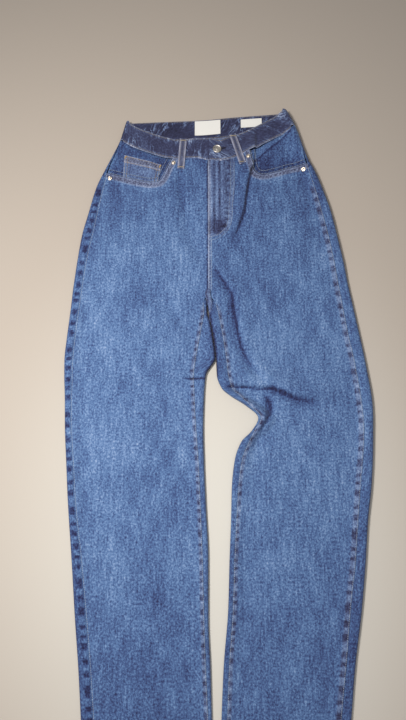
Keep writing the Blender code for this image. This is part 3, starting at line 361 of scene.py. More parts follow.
def inner_share(height):
    """0 over the seat, 1 where the leg has an inner edge of its own."""
    return smoothstep(-height / 16.0)


def lying_height(leg, q, height, proud=0.0):
    """Height over the table of the front's outer face, without its fine relief."""
    outer_roll = leg.at("outer_roll", height) + proud / 2
    inner_roll = leg.at("inner_roll", height) + proud / 2
    from_outer = leg.at("outer", height) - q
    from_inner = q - leg.at("inner", height)
    parted = inner_share(height)
    level_out = smoothstep((from_outer - outer_roll) / EDGE_BLEND)
    level_in = 1 - parted * (1 - smoothstep((from_inner - inner_roll) / EDGE_BLEND))
    x = leg.side * q
    flat = along(LIE, height) + proud + sway(x, height)
    lying = (1 - level_out) * 2 * outer_roll + level_out * ((1 - level_in) * 2 * inner_roll + level_in * flat)
    free = smoothstep((from_outer - outer_roll) / 12) * (
        1 - parted * (1 - smoothstep((from_inner - inner_roll) / 8))
    )
    least = 3.9 + 1.2 * smoothstep((-690 - height) / 40) + 2.9 * smoothstep((height - 190) / 25)
    lying = np.maximum(lying + free * folds(x, height), least)
    return (
        rest(height) + lying - edge_drop(from_outer, outer_roll)
        - parted * edge_drop(from_inner, inner_roll)
    )


def dashes(s, period, seed):
    """Roping along a seam: where the cloth puffs between its puckers, from 0 to 1 along s."""
    turn = s / period + 0.24 * np.sin(s / 23.0 + seed) + 0.16 * np.sin(s / 9.1 + 2.3 * seed)
    return smoothstep((np.cos(2 * math.pi * turn) + 0.25) / 0.9)


def seam_ropes(leg, q, height):
    """(strength, dash) of the puckers beside the seams. They lie on the seam's left in the picture."""
    side = leg.at("side_seam", height) - q
    beside = side if leg.name == "left" else -side
    window = smoothstep(beside / 1.6) * smoothstep((11.5 - beside) / 4.0) * smoothstep((225 - height) / 30)
    dash = dashes(height, 20.0, 1.3 + leg.side)
    inner = q - leg.at("inseam", height)
    below = smoothstep((-18 - height) / 16)
    window_in = smoothstep(inner / 1.6) * smoothstep((8.5 - inner) / 3.0) * below
    dash_in = dashes(height, 15.5, 4.1 + 2 * leg.side)
    return window + window_in, (window * dash + window_in * dash_in) / np.maximum(window + window_in, 1e-6)


def relief(leg, q, height):
    """Fine relief of the front: puckered seams, the mouth's hem, the fly and small unevenness."""
    x = leg.side * q
    strength, dash = seam_ropes(leg, q, height)
    z = strength * (0.55 - 1.1 * dash)
    side = leg.at("side_seam", height) - q
    z -= 0.5 * bell(side / 1.3) + 0.35 * bell((q - leg.at("inseam", height)) / 1.2) * inner_share(height)
    z += 0.30 * mottle(x, height, 34.0, 1.0) + 0.16 * mottle(x, height * 0.8, 13.0, 2.0)
    hem = leg.from_mouth(q, height)
    lip = smoothstep((11.5 - hem) / 1.6) * (height > 190)
    z += lip * (0.5 - 0.45 * bell((hem - 8.6) / 1.4))
    z += lip * 0.4 * (0.5 - dashes(q * 1.3 - height, 8.5, 2.0)) * bell((hem - 5.0) / 3.0)
    if leg.name == "left":
        d = along([(h, v) for v, h in FLY_STITCH], height) - x
        inside = smoothstep(d / 2) * smoothstep((height - 108) / 10)
        z += 0.5 * inside + inside * 0.55 * np.cos(2 * math.pi * x / 10.5) * smoothstep((x - 3) / 6)
        z -= 0.4 * bell(d / 2.0) * smoothstep((height - 106) / 8)
    keep = smoothstep((leg.at("outer", height) - q) / 3.0)
    return z * keep


def front_face(x, height, proud=0.0):
    """The front's outer face, with its relief, at a place on either half."""
    x, height = np.broadcast_arrays(np.asarray(x, float), np.asarray(height, float))
    left = lying_height(LEFT, np.maximum(x, 0.0), height, proud) + relief(LEFT, np.maximum(x, 0.0), height)
    right = (
        lying_height(RIGHT, np.maximum(-x, 0.0), height, proud) + relief(RIGHT, np.maximum(-x, 0.0), height)
    )
    return np.where(x > 0, left, right)


def wash_and_painted_light(leg, q, height):
    """How far the dye is washed out, 0 deep indigo to 1 nearly white: worn where the cloth stands proud,
    with slow clouds from the stonewash. Painted light and shade are mixed in: painted shade darkens the
    creases, the inner edges by the crotch and the right front beside the lapped fly; the fly's fold edge
    is partly a painted highlight; and the legs are lighter at the knee and darker towards the hips and
    shins, partly wear and partly a painted falloff of light."""
    x = leg.side * q
    tone = 0.50 + 0.045 * mottle(x, height * 0.5, 46.0, 5.0) + 0.03 * mottle(x, height * 0.4, 15.0, 6.0)
    # Lighter at the knee and darker towards the hips and shins: partly wear, partly a painted falloff of light.
    tone += (
        0.035 * bell((height + 190) / 170) - 0.05 * smoothstep((height - 60) / 160)
        - 0.045 * smoothstep((-420 - height) / 200)
    )
    strength, dash = seam_ropes(leg, q, height)
    # Painted shade: the colour is darkened along the creases.
    tone += strength * (0.05 - 0.27 * dash) - 0.34 * painted_crease_shade(x, height)
    # Painted shade: the inner edges from the crotch down to above the knee are darkened where the gap between the legs
    # lies in shade.
    inner_edge = q - leg.at("inner", height)
    tone -= 0.30 * bell(inner_edge / 3.0) * smoothstep((-8 - height) / 14) * smoothstep((height + 165) / 25)
    tone -= 0.08 * bell((leg.at("outer", height) - q) / 2.5)
    beyond = q - leg.at("side_seam", height)
    tone -= (
        0.06 * smoothstep(beyond / 3)
        + 0.05 * smoothstep((leg.at("inseam", height) - q) / 3) * inner_share(height)
    )
    hem = leg.from_mouth(q, height)
    lip = smoothstep((11.5 - hem) / 1.0) * (height > 190)
    tone += lip * (
        0.02 + 0.14 * bell((hem - 0.8) / 1.0) + 0.12 * bell((hem - 9.8) / 1.0) - 0.26 * dashes(q * 1.3 - height, 8.5, 2.0) * bell((hem - 5.2) / 2.6)
    )
    tone += 0.07 * bell((hem - 15) / 6) * (height < 235) * (height > 190)
    if leg.name == "left":
        d = along([(h, v) for v, h in FLY_STITCH], height) - x
        inside = smoothstep(d / 3) * smoothstep((height - 106) / 12)
        streaks = bell((x - 7) / 1.5) + 0.9 * bell((x - 17) / 1.6) + 0.4 * bell((x - 26) / 1.4)
        streaks = streaks - 0.9 * bell((x - 11.5) / 1.6) - 0.9 * bell((x - 22) / 1.8)
        tone += inside * (
            0.15 * streaks * smoothstep((height - 125) / 40) - 0.04 + 0.05 * mottle(x * 3, height * 0.5, 9.0, 21.0)
        )
        tone -= 0.20 * smoothstep((height - 110) / 8) * smoothstep((152 - height) / 24) * smoothstep(d / 2)
        rope = dashes(height, 13.0, 0.4) * smoothstep((height - 104) / 8)
        tone += smoothstep((d + 2.0) / 1.5) * smoothstep((8.5 - d) / 1.5) * smoothstep((height - 104) / 8) * (
            0.03 - 0.15 * rope
        )
    below = smoothstep((height - 2) / 8) * smoothstep((263 - height) / 4)
    if leg.name == "left":
        # Pale lines along the left front's edge at the fly: the outer one is partly a worn fold edge, partly a painted
        # highlight of the lit fold.
        tone += below * (0.22 * bell((x - 1.6) / 1.0) + 0.10 * bell((x - 4.5) / 1.0) * (height > 108))
        ladder = smoothstep((x - 1.5) / 1.5) * smoothstep((8.0 - x) / 1.5) * (height < 106)
        tone += below * ladder * (
            0.05 + 0.20 * bell((x - 6.6) / 0.9) - 0.2 * dashes(height, 5.5, 3.0) * bell((x - 4) / 2)
        )
    else:
        # Painted shadow: the right front is darkened in a line where the lapped left front's edge casts its shadow.
        tone -= below * 0.22 * bell(x / 2.2)
    return tone


def unit(v):
    return v / np.maximum(np.linalg.norm(v, axis=-1, keepdims=True), 1e-9)


def grid_normals(surface, ring=False):
    """Outward side of a grid is where cross(along a row, down a column) points."""
    if ring:
        across = np.roll(surface, -1, axis=1) - np.roll(surface, 1, axis=1)
    else:
        across = np.gradient(surface, axis=1)
    return unit(np.cross(across, np.gradient(surface, axis=0)))


def sewn_cloth(
    name, surface, thickness, cloth_uv, tone, material, grey=0.0, ring=False, flip=False, inner_shade=0.0
):
    """A thin wall of cloth. surface is the grid of points on its outer face, in millimetres
    from the crotch point; the inner face is that grid moved in along its normals."""
    rows, columns = surface.shape[:2]
    if flip:
        surface, cloth_uv = surface[:, ::-1], cloth_uv[:, ::-1]
        tone, grey, thickness = (np.broadcast_to(value, surface.shape[:2])[:, ::-1] for value in (tone, grey, thickness))
    inside = surface - np.broadcast_to(thickness, surface.shape[:2])[..., None] * grid_normals(surface, ring)
    points = np.concatenate([surface.reshape(-1, 3), inside.reshape(-1, 3)])
    points[:, :2] += PLACE
    count = rows * columns
    index = np.arange(count).reshape(rows, columns)
    if ring:
        index = np.concatenate([index, index[:, :1]], axis=1)
    a, b, c, d = index[:-1, :-1], index[:-1, 1:], index[1:, 1:], index[1:, :-1]
    faces = [np.stack([a, b, c, d], -1).reshape(-1, 4), np.stack([d, c, b, a], -1).reshape(-1, 4) + count]
    loop = [index[0, :], index[1:, -1], index[-1, -2::-1], index[-2:0:-1, 0]]
    loops = [index[0], index[-1, ::-1]] if ring else [np.concatenate([*loop, index[:1, 0]])]
    for edge in loops:
        faces.append(np.stack([edge[1:], edge[:-1], edge[:-1] + count, edge[1:] + count], -1))
    faces = np.concatenate(faces)
    mesh = bpy.data.meshes.new(name)
    mesh.vertices.add(len(points))
    mesh.vertices.foreach_set("co", (points / 1000).astype(np.float32).ravel())
    mesh.loops.add(faces.size)
    mesh.loops.foreach_set("vertex_index", faces.astype(np.int32).ravel())
    mesh.polygons.add(len(faces))
    mesh.polygons.foreach_set("loop_start", np.arange(0, faces.size, 4, dtype=np.int32))
    mesh.polygons.foreach_set("loop_total", np.full(len(faces), 4, np.int32))
    mesh.update(calc_edges=True)
    mesh.uv_layers.new(name="cloth")
    uv = np.tile(cloth_uv.reshape(-1, 2), (2, 1))[faces.ravel()] / 1000
    mesh.uv_layers["cloth"].data.foreach_set("uv", uv.astype(np.float32).ravel())
    for attribute, value in (("tone", tone), ("grey", grey)):
        value = np.tile(np.broadcast_to(value, (rows, columns)).ravel(), 2)
        if attribute == "tone":
            value[count:] -= inner_shade
        mesh.attributes.new(attribute, "FLOAT", "POINT").data.foreach_set("value", value.astype(np.float32))
    mesh.shade_smooth()
    mesh.set_sharp_from_angle(angle=math.radians(55))
    mesh.materials.append(material)
    piece = bpy.data.objects.new(name, mesh)
    bpy.context.scene.collection.objects.link(piece)
    return piece


def denim(name, grain=0.48, crackle=0.0):
    """Indigo twill: a ramp of washed-out blues read from the piece's own wash, broken by the
    grain of the yarns, with a fine diagonal rib. crackle adds pale crease marks to new denim."""
    material = bpy.data.materials.new(name)
    material.use_nodes = True
    nodes, links = material.node_tree.nodes, material.node_tree.links
    shader = nodes["Principled BSDF"]
    shader.inputs["Roughness"].default_value = 0.88
    shader.inputs["Specular IOR Level"].default_value = 0.22
    shader.inputs["Sheen Weight"].default_value = 0.12
    shader.inputs["Sheen Roughness"].default_value = 0.5

    def add(kind, **inputs):
        node = nodes.new(kind)
        for key, value in inputs.items():
            node.inputs[key].default_value = value
        return node

    def sum_of(first, second, factor):
        scaled = nodes.new("ShaderNodeMath")
        scaled.operation = "MULTIPLY_ADD"
        links.new(second, scaled.inputs[0])
        scaled.inputs[1].default_value = factor
        links.new(first, scaled.inputs[2])
        return scaled.outputs[0]

    uv = nodes.new("ShaderNodeUVMap")
    uv.uv_map = "cloth"
    tone = nodes.new("ShaderNodeAttribute")
    tone.attribute_name = "tone"
    grey = nodes.new("ShaderNodeAttribute")
    grey.attribute_name = "grey"

    def noise(scale_x, scale_y, detail, rough=0.6, distortion=0.0, turn=0.0):
        mapping = nodes.new("ShaderNodeMapping")
        mapping.inputs["Scale"].default_value = (scale_x, scale_y, 1.0)
        mapping.inputs["Rotation"].default_value = (0.0, 0.0, turn)
        texture = add("ShaderNodeTexNoise", Scale=1.0, Detail=detail, Roughness=rough, Distortion=distortion)
        links.new(uv.outputs["UV"], mapping.inputs["Vector"])
        links.new(mapping.outputs["Vector"], texture.inputs["Vector"])
        centred = nodes.new("ShaderNodeMath")
        centred.operation = "SUBTRACT"
        links.new(texture.outputs["Fac"], centred.inputs[0])
        centred.inputs[1].default_value = 0.5
        return centred.outputs[0]

    grain_noise = noise(330, 270, 2.0, 0.7)
    streak_noise = noise(210, 26, 2.0, 0.6)
    cloud_noise = noise(42, 22, 3.0, 0.6)
    value = sum_of(tone.outputs["Fac"], grain_noise, grain * 1.9)
    value = sum_of(value, streak_noise, grain * 0.75)
    value = sum_of(value, cloud_noise, grain * 0.55)
    if crackle:
        marks = noise(88, 34, 3.0, 0.6, 0.7, 0.75)
        ridge = nodes.new("ShaderNodeMath")
        ridge.operation = "ABSOLUTE"
        links.new(marks, ridge.inputs[0])
        line = nodes.new("ShaderNodeMapRange")
        line.inputs["From Min"].default_value, line.inputs["From Max"].default_value = 0.0, 0.04
        line.inputs["To Min"].default_value, line.inputs["To Max"].default_value = 1.0, 0.0
        line.interpolation_type = "SMOOTHSTEP"
        links.new(ridge.outputs[0], line.inputs["Value"])
        patch = nodes.new("ShaderNodeMath")
        patch.operation = "MULTIPLY"
        spread = nodes.new("ShaderNodeMapRange")
        spread.inputs["From Min"].default_value, spread.inputs["From Max"].default_value = -0.10, 0.12
        links.new(noise(38, 30, 1.0), spread.inputs["Value"])
        links.new(spread.outputs[0], patch.inputs[0])
        links.new(line.outputs[0], patch.inputs[1])
        value = sum_of(value, patch.outputs[0], crackle)
    ramp = nodes.new("ShaderNodeValToRGB")
    ramp.color_ramp.elements[0].position, ramp.color_ramp.elements[0].color = 0.0, (0.008, 0.008, 0.030, 1)
    ramp.color_ramp.elements[1].position, ramp.color_ramp.elements[1].color = 1.0, (0.62, 0.64, 0.70, 1)
    for position, colour in (
        (0.22, (0.020, 0.026, 0.088)), (0.40, (0.046, 0.082, 0.205)), (0.55, (0.088, 0.165, 0.335)),
        (0.72, (0.190, 0.285, 0.480)),
    ):
        ramp.color_ramp.elements.new(position).color = (*colour, 1)
    links.new(value, ramp.inputs["Fac"])
    worn = nodes.new("ShaderNodeMix")
    worn.data_type = "RGBA"
    worn.blend_type = "COLOR"
    worn.inputs["B"].default_value = (0.34, 0.33, 0.41, 1)
    links.new(grey.outputs["Fac"], worn.inputs["Factor"])
    links.new(ramp.outputs["Color"], worn.inputs["A"])
    links.new(worn.outputs["Result"], shader.inputs["Base Color"])
    rib_map = nodes.new("ShaderNodeMapping")
    rib_map.inputs["Rotation"].default_value = (0.0, 0.0, math.radians(58))
    rib = add("ShaderNodeTexWave", Scale=280.0, Distortion=0.6, Detail=1.0)
    links.new(uv.outputs["UV"], rib_map.inputs["Vector"])
    links.new(rib_map.outputs["Vector"], rib.inputs["Vector"])
    height = sum_of(rib.outputs["Fac"], grain_noise, 1.4)
    bump = add("ShaderNodeBump", Strength=0.35, Distance=0.0004)
    links.new(height, bump.inputs["Height"])
    links.new(bump.outputs["Normal"], shader.inputs["Normal"])
    return material


washed_denim = denim("washed_denim")


def leg_heights():
    """Heights of the rows of a panel below the crotch, evenly spaced down to the hem."""
    spread = np.linspace(0, 1, 240)
    return -1.5 + spread * (HEM_HEIGHT + HEM_DEPTH + SEAM_GAP + 1.5)


def front_panel(leg):
    """Grid of the front: across from side seam to fly and inseam, down from the top edge to the hem."""
    q_seam = np.linspace(leg.mouth[-1, 0], SEAM_GAP / 2, 80)[1:]
    seam = along(FRONT_WAIST_SEAM, leg.side * q_seam) - SEAM_GAP
    q_edge = np.concatenate([leg.mouth[:, 0], q_seam])
    top_edge = np.concatenate([leg.mouth[:, 1], seam])
    length = np.concatenate([[0], np.cumsum(np.hypot(np.diff(q_edge), np.diff(top_edge)))])
    t = np.linspace(0, 1, 112)
    place = (t - 0.45 * np.sin(2 * math.pi * t) / (2 * math.pi)) * length[-1]
    q_top, top = np.interp(place, length, q_edge), np.interp(place, length, top_edge)
    side_top = leg.at("side_seam", top) - SEAM_GAP / 2
    u = np.clip((side_top - q_top) / (side_top - SEAM_GAP / 2), 0, 1)
    u[0], u[-1] = 0.0, 1.0
    hip = np.linspace(1, 0, 92)[:, None] * top[None, :]
    height = np.concatenate([hip, leg_heights()[:, None] + 0 * top[None, :]])
    share = smoothstep(-height / 14.0)
    inner = (1 - share) * SEAM_GAP / 2 + share * (leg.at("inseam", height) + SEAM_GAP / 2)
    q = leg.at("side_seam", height) - SEAM_GAP / 2
    q = q + u[None, :] * (inner - q)
    z = lying_height(leg, q, height) + relief(leg, q, height)
    surface = np.stack([leg.side * q, height, z], axis=-1)
    hem = leg.from_mouth(q, height)
    grey = 0.42 * smoothstep((11.0 - hem) / 1.5) * (height > 190)
    if leg.name == "left":
        d = along([(h, v) for v, h in FLY_STITCH], height) - q
        grey = np.maximum(
            grey,
            0.16 * smoothstep((d + 8) / 2) * smoothstep((height - 104) / 6) + 0.35 * bell((q - 2) / 3) * (height > 0)
        )
    strength, dash = seam_ropes(leg, q, height)
    grey = np.maximum(grey, 0.20 * np.minimum(strength, 1))
    panel = sewn_cloth(
        "front_panel_" + leg.name, surface, DENIM * 0.8, np.stack([leg.side * q, height], -1), wash_and_painted_light(leg, q, height),
        washed_denim, grey, flip=leg.side < 0,
    )
    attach(panel, "root")
    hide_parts("front_" + leg.name)


front_panel(RIGHT)
front_panel(LEFT)

# Back panels: they lie under the fronts and wrap round the outer edges to the side seams and
# round the inner edges to the inseams, so a strip of each shows from the front.
YOKE_AT_SIDE = {"right": 281.0, "left": 304.0}
YOKE_AT_CENTRE = 254.0


def wrap_length(inset, roll):
    """Length of cloth from the underside round a rolled edge to a seam that far in."""
    on_arc = roll * (math.pi / 2 + np.arccos(np.clip((roll - inset) / roll, -1, 1)))
    return np.where(inset < roll, on_arc, math.pi * roll + inset - roll)


def wrapped(leg, q_edge, inward, roll, length, height):
    """(q, z) at that length of cloth from the underside, round an edge at q_edge."""
    turn = np.minimum(length / roll, math.pi) - math.pi / 2
    q = q_edge + inward * (roll * (1 - np.cos(turn)) + np.maximum(length - math.pi * roll, 0.0))
    arc = rest(height) + roll * (1 + np.sin(turn))
    over = lying_height(leg, q, height)
    upper = smoothstep((turn - 0.2) / 0.9)
    return q, np.where(length < math.pi * roll, arc, over) + upper * relief(leg, q, height)


def back_sheet(leg, c, height):
    """(q, z) of the back's outer face. c runs 0 to 1 from the side seam round the outer edge,
    1 to 2 across the underside, and 2 to 3 round the inner edge to the inseam."""
    outer, inner = leg.at("outer", height), leg.at("inner", height)
    outer_roll, inner_roll = leg.at("outer_roll", height), leg.at("inner_roll", height)
    out_length = wrap_length(outer - leg.at("side_seam", height) - SEAM_GAP / 2, outer_roll)
    in_length = wrap_length(np.maximum(leg.at("inseam", height) - SEAM_GAP / 2 - inner, 0.05), inner_roll)
    parted = inner_share(height)
    q_out, z_out = wrapped(leg, outer, -1, outer_roll, out_length * (1 - np.clip(c, 0, 1)), height)
    s = in_length * np.clip(c - 2, 0, 1)
    q_in, z_in = wrapped(leg, inner, 1, inner_roll, s, height)
    q_in = (1 - parted) * (SEAM_GAP / 2 + in_length - s) + parted * q_in
    z_in = (1 - parted) * rest(height) + parted * z_in
    q_end = (1 - parted) * (SEAM_GAP / 2 + in_length) + parted * (inner + inner_roll)
    t = np.clip(c - 1, 0, 1)
    q = np.where(c < 1, q_out, np.where(c < 2, (1 - t) * (outer - outer_roll) + t * q_end, q_in))
    return q, np.where(c < 1, z_out, np.where(c < 2, rest(height), z_in))


def yoke_seam(leg, c):
    """Height of the yoke seam: it dips from the side seam to the centre back."""
    t = smoothstep((c - 1) / 2)
    return (1 - t) * YOKE_AT_SIDE[leg.name] + t * YOKE_AT_CENTRE


def back_cloth(leg, name, c, height, node):
    """Builds a stretch of the back on a grid of (c, height)."""
    q, z = back_sheet(leg, c, height)
    surface = np.stack([leg.side * q, height, z], axis=-1)
    run = np.concatenate(
        [np.zeros((len(q), 1)), np.cumsum(np.hypot(np.diff(q, axis=1), np.diff(z, axis=1)), axis=1)], axis=1
    )
    shown = smoothstep((z - rest(height) - 3.0) / 3.0)
    # The underside is darker towards the hips like the front: partly wear, partly a painted falloff of light.
    tone = shown * wash_and_painted_light(leg, q, height) + (1 - shown) * (
        0.47 + 0.05 * mottle(leg.side * q + 700, height * 0.5, 46.0, 8.0) - 0.03 * smoothstep((height - 60) / 160)
    )
    sheet = sewn_cloth(
        name, surface, DENIM * 0.8, np.stack([run + 900, height], -1), tone, washed_denim, flip=leg.side > 0
    )
    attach(sheet, "root")
    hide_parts(node)


BACK_COLUMNS = np.concatenate([np.linspace(0, 1, 18), np.linspace(1, 2, 40)[1:], np.linspace(2, 3, 17)[1:]])
BACK_WAIST_SEAM = ((-170, 309), (-100, 311), (0, 315), (60, 321), (130, 328), (171, 337))
for leg in (RIGHT, LEFT):
    c = BACK_COLUMNS[None, :]
    top = yoke_seam(leg, c) - SEAM_GAP / 2
    height = np.concatenate([np.linspace(1, 0, 92)[:, None] * top, leg_heights()[:, None] + 0 * c])
    back_cloth(
        leg, "back_panel_" + leg.name, c + 0 * height, height, "back_" + leg.name,
    )
    low = top + SEAM_GAP
    q, _ = back_sheet(leg, c, low + 40)
    high = (
        np.where(c <= 1, along(BACK_WAIST_SEAM, leg.side * 200.0), along(BACK_WAIST_SEAM, leg.side * q))
        - SEAM_GAP
    )
    height = low + np.linspace(1, 0, 16)[:, None] * (high - low)
    back_cloth(
        leg, "yoke_" + leg.name, c + 0 * height, height, "back_yoke_" + leg.name,
    )

# Crotch: where the four seams meet, the end of the felled seat seam has rolled over on itself and
# stands curled between the legs, 50 mm long. It is cut in one with the left back panel.
u, v = np.linspace(0, 1, 30)[None, :], np.linspace(0, 1, 70)[:, None]
height = 6.0 - 58.0 * v + 0 * u
half = 6.6 * smoothstep((v + 0.06) / 0.16) * (1 - 0.62 * smoothstep((v - 0.30) / 0.7))
middle = 1.5 - 3.5 * bell((v - 0.16) / 0.16) + 2.2 * smoothstep((v - 0.3) / 0.6)
roll = math.pi * (1.35 - 2.15 * u)
reach = half * (0.35 + 0.65 * np.abs(np.cos(roll / 2)))
x = middle + reach * np.cos(roll + 0.5 * v)
z = (
    8.6 + 2.4 * bell((v - 0.2) / 0.3) + 2.4 * (half / 6.6) * np.sin(roll + 0.5 * v)
    - 4.5 * smoothstep((v - 0.55) / 0.45)
)
surface = np.stack([x, height + 2.0 * np.sin(3 * u + 2 * v), z], axis=-1)
tone = (
    0.46 + 0.30 * bell(u / 0.07) + 0.30 * bell((1 - u) / 0.07) - 0.22 * bell((u - 0.30) / 0.10)
    - 0.12 * bell((u - 0.72) / 0.08)
)
tongue = sewn_cloth(
    "crotch_curl", surface, 0.9, np.stack([u * 20 + 1900 + 0 * v, height], -1), tone + 0 * v, washed_denim,
    0.2, flip=True
)
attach(tongue, "root")

# Hems: the foot of each leg turned up twice and stitched down, a ring 15 mm deep. The
# picture ends above them, so they are plain.
HEM = 2.0


def ring_of(leg, height):
    """(q, z) once round a leg: across the front from the side seam, then round the back."""
    u = np.linspace(0, 1, 72)[None, 1:-1]
    side, inner = leg.at("side_seam", height), leg.at("inseam", height)
    q_front = side + u * (inner - side)
    c = BACK_COLUMNS[None, ::-1] + 0 * height
    q_back, z_back = back_sheet(leg, c, height + 0 * c)
    z_front = lying_height(leg, q_front, height + 0 * q_front)
    return np.concatenate([q_front, q_back], axis=1), np.concatenate([z_front, z_back], axis=1)


for leg in (RIGHT, LEFT):
    height = np.linspace(HEM_HEIGHT + HEM_DEPTH, HEM_HEIGHT, 14)[:, None]
    q, z = ring_of(leg, height)
    surface = np.stack([leg.side * q, height + 0 * q, z], axis=-1)
    run = np.cumsum(
        np.hypot(np.diff(q, axis=1, prepend=q[:, :1]), np.diff(z, axis=1, prepend=z[:, :1])), axis=1
    )
    rope = dashes(run + 1.3 * (height - HEM_HEIGHT), 15.0, 0.9 + leg.side) * bell(
        (height - HEM_HEIGHT - 7) / 6
    )
    surface[..., 2] += np.where(z > rest(height) + 3, 0.3 - 0.6 * rope, 0.0)
    edge = bell((height - HEM_HEIGHT) / 1.0) + 0 * z
    ring = sewn_cloth(
        "hem_ring_" + leg.name, surface, HEM * (0.9 - 0.5 * edge), np.stack([run + 2000, height + 0 * run], -1),
        0.46 - 0.26 * rope + 0.16 * edge, washed_denim, ring=True, flip=leg.side < 0,
    )
    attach(ring, "root")
    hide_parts("hem_" + leg.name)

# Waistband: one strip of two layers of dark, hardly washed denim, folded round at the sides. Its
# left end, with the buttonhole, laps over the right end. Pale crease marks run through the dye.
BAND, BAND_PROUD = 2.4, 0.6
FRONT_WAIST_EDGE = (
    (-159, 351), (-141, 339), (-111, 326), (-81, 316), (-51, 310), (-21, 314), (5, 312),
    (23, 308), (40, 316), (68, 327), (98, 342), (129, 359), (155, 372),
)
BACK_WAIST_EDGE = ((-159, 351), (-96, 354), (-6, 358), (53, 364), (129, 370), (155, 372))
BUTTON_AT = (18.0, 287.0)


def band_line(seam, edge, share, rise):
    """A point on the band: share along it from the right corner, rise from seam to edge."""
    x_seam = seam[0][0] + share * (seam[-1][0] - seam[0][0])
    x_edge = edge[0][0] + share * (edge[-1][0] - edge[0][0])
    y_seam, y_edge = along(seam, x_seam), along(edge, x_edge)
    return x_seam + rise * (x_edge - x_seam), y_seam + rise * (y_edge - y_seam)


def band_front(x, rise):
    """The front stretch of the band at x: its height and the z of its outer face."""
    share = (x + 170.0) / 342.0
    for _ in range(4):
        x_at, height = band_line(FRONT_WAIST_SEAM, FRONT_WAIST_EDGE, share, rise)
        share = share + (x - x_at) / 330.0
    left = lying_height(LEFT, np.maximum(x, 0.01), height, BAND_PROUD)
    right = lying_height(RIGHT, np.maximum(-x, 0.01), height, BAND_PROUD)
    return height, np.where(x > 0, left, right)


def band_corner(leg, rise, turn):
    """The band's side fold. turn is 1 at the front face and 0 at the underside."""
    heights = leg.sections["height"]
    height = heights[1] + rise * (heights[0] - heights[1])
    roll = leg.at("outer_roll", height) + BAND_PROUD / 2
    angle = math.pi * (turn - 0.5)
    q = leg.at("outer", height) - roll * (1 - np.cos(angle))
    return leg.side * q, height + 0 * turn, rest(height) + roll * (1 + np.sin(angle))


rise = np.concatenate([[0, 0.012, 0.03, 0.06], np.linspace(0.1, 0.9, 15), [0.94, 0.97, 0.988, 1]])[:, None]
turn = np.linspace(1, 0, 14)[None, :]
right_corner, left_corner = band_corner(RIGHT, rise, turn), band_corner(LEFT, rise, turn)
x = 27.0 + np.linspace(0, 1, 100)[None, :-1] * (right_corner[0][:, :1] - 27.0)
height, z = band_front(x, rise + 0 * x)
under = smoothstep((x + 16.0) / 17.0)
lapped = lying_height(LEFT, 0.01, height, BAND_PROUD)
right_front = (x, height, (1 - under) * z + under * (lapped + FLY_STEP - BAND - 0.5))
first, last = right_corner[0][:, -1:], left_corner[0][:, -1:]
share = np.linspace(0, 1, 130)[None, 1:-1] + 0 * rise
height = band_line(BACK_WAIST_SEAM, BACK_WAIST_EDGE, share, rise)[1]
back = (first + share * (last - first), height, rest(height))
x = left_corner[0][:, :1] + np.linspace(0, 1, 90)[None, 1:] * (3.0 - left_corner[0][:, :1])
height, z = band_front(x, rise + 0 * x)
left_front = (x, height, z)
strips = (right_front, right_corner, back, tuple(part[:, ::-1] for part in left_corner), left_front)
surface = np.concatenate([np.stack(np.broadcast_arrays(*strip), axis=-1) for strip in strips], axis=1)
kind = np.concatenate([np.full(strip[0].shape[1], k) for k, strip in enumerate(strips)])[None, :] + 0 * rise
run = np.concatenate(
    [
        np.zeros((len(rise), 1)),
        np.cumsum(np.linalg.norm(np.diff(surface[..., [0, 2]], axis=1), axis=-1), axis=1)
    ],
    axis=1
)
from_edge = 41.0 * np.minimum(rise, 1 - rise) + 0 * run
from_end = np.minimum(run, run[:, -1:] - run)
rim = np.minimum(from_edge, from_end)
bevel = 0.75 * (1 - np.sqrt(1 - (1 - np.clip(rim / 1.5, 0, 1)) ** 2))
upward = np.broadcast_to([0.0, 1.0, 0.0], surface.shape)
tangent = np.gradient(surface, axis=1)
tangent[..., 1] = 0.0
outward = unit(np.cross(upward, tangent))
puffed = (
    0.28 * mottle(run, 41 * rise, 17.0, 3.0) + 0.2 * mottle(run, 41 * rise, 7.0, 4.0)
    - 0.4 * bell((from_edge - 3.0) / 0.8)
)
puffed = np.where(kind == 2, 0.0, puffed)
slot_line = (kind == 4) * bell((surface[..., 1] - BUTTON_AT[1] - 0.2 * (surface[..., 0] - 18)) / 1.3)
slot_line = slot_line * smoothstep((surface[..., 0] - 24) / 2) * smoothstep((37 - surface[..., 0]) / 1.5)
surface = surface - outward * (bevel - puffed + 0.9 * slot_line)[..., None]
fade = 0.5 + 0.5 * mottle(run, 300 + 41 * rise, 30.0, 9.0)
# The buttonhole's slit is darkened in the colour: painted shade in the slit.
band_tone = (
    0.17 + 0.10 * fade + 0.34 * bell(from_edge / 1.4) + 0.08 * bell((from_edge - 4.6) / 1.6)
    - 0.5 * slot_line
)
new_denim = denim("new_denim", 0.30, crackle=0.50)
band = sewn_cloth(
    "waistband_strip", surface, BAND - 1.6 * bevel, np.stack([run + 3000, 41 * rise + 0 * run], -1), band_tone, new_denim,
    0.25 + 0.25 * bell(from_edge / 2.5), flip=True, inner_shade=0.07,
)
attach(band, "root")
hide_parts("waistband")

# Labels: a large and a small one of white satin tape inside the back of the band, sewn down along
# their edges. They are left blank.
LABELS = {"label_main": (-25.0, 25.0, 3.0, 31.0), "label_side": (65.0, 106.0, 7.0, 18.0)}

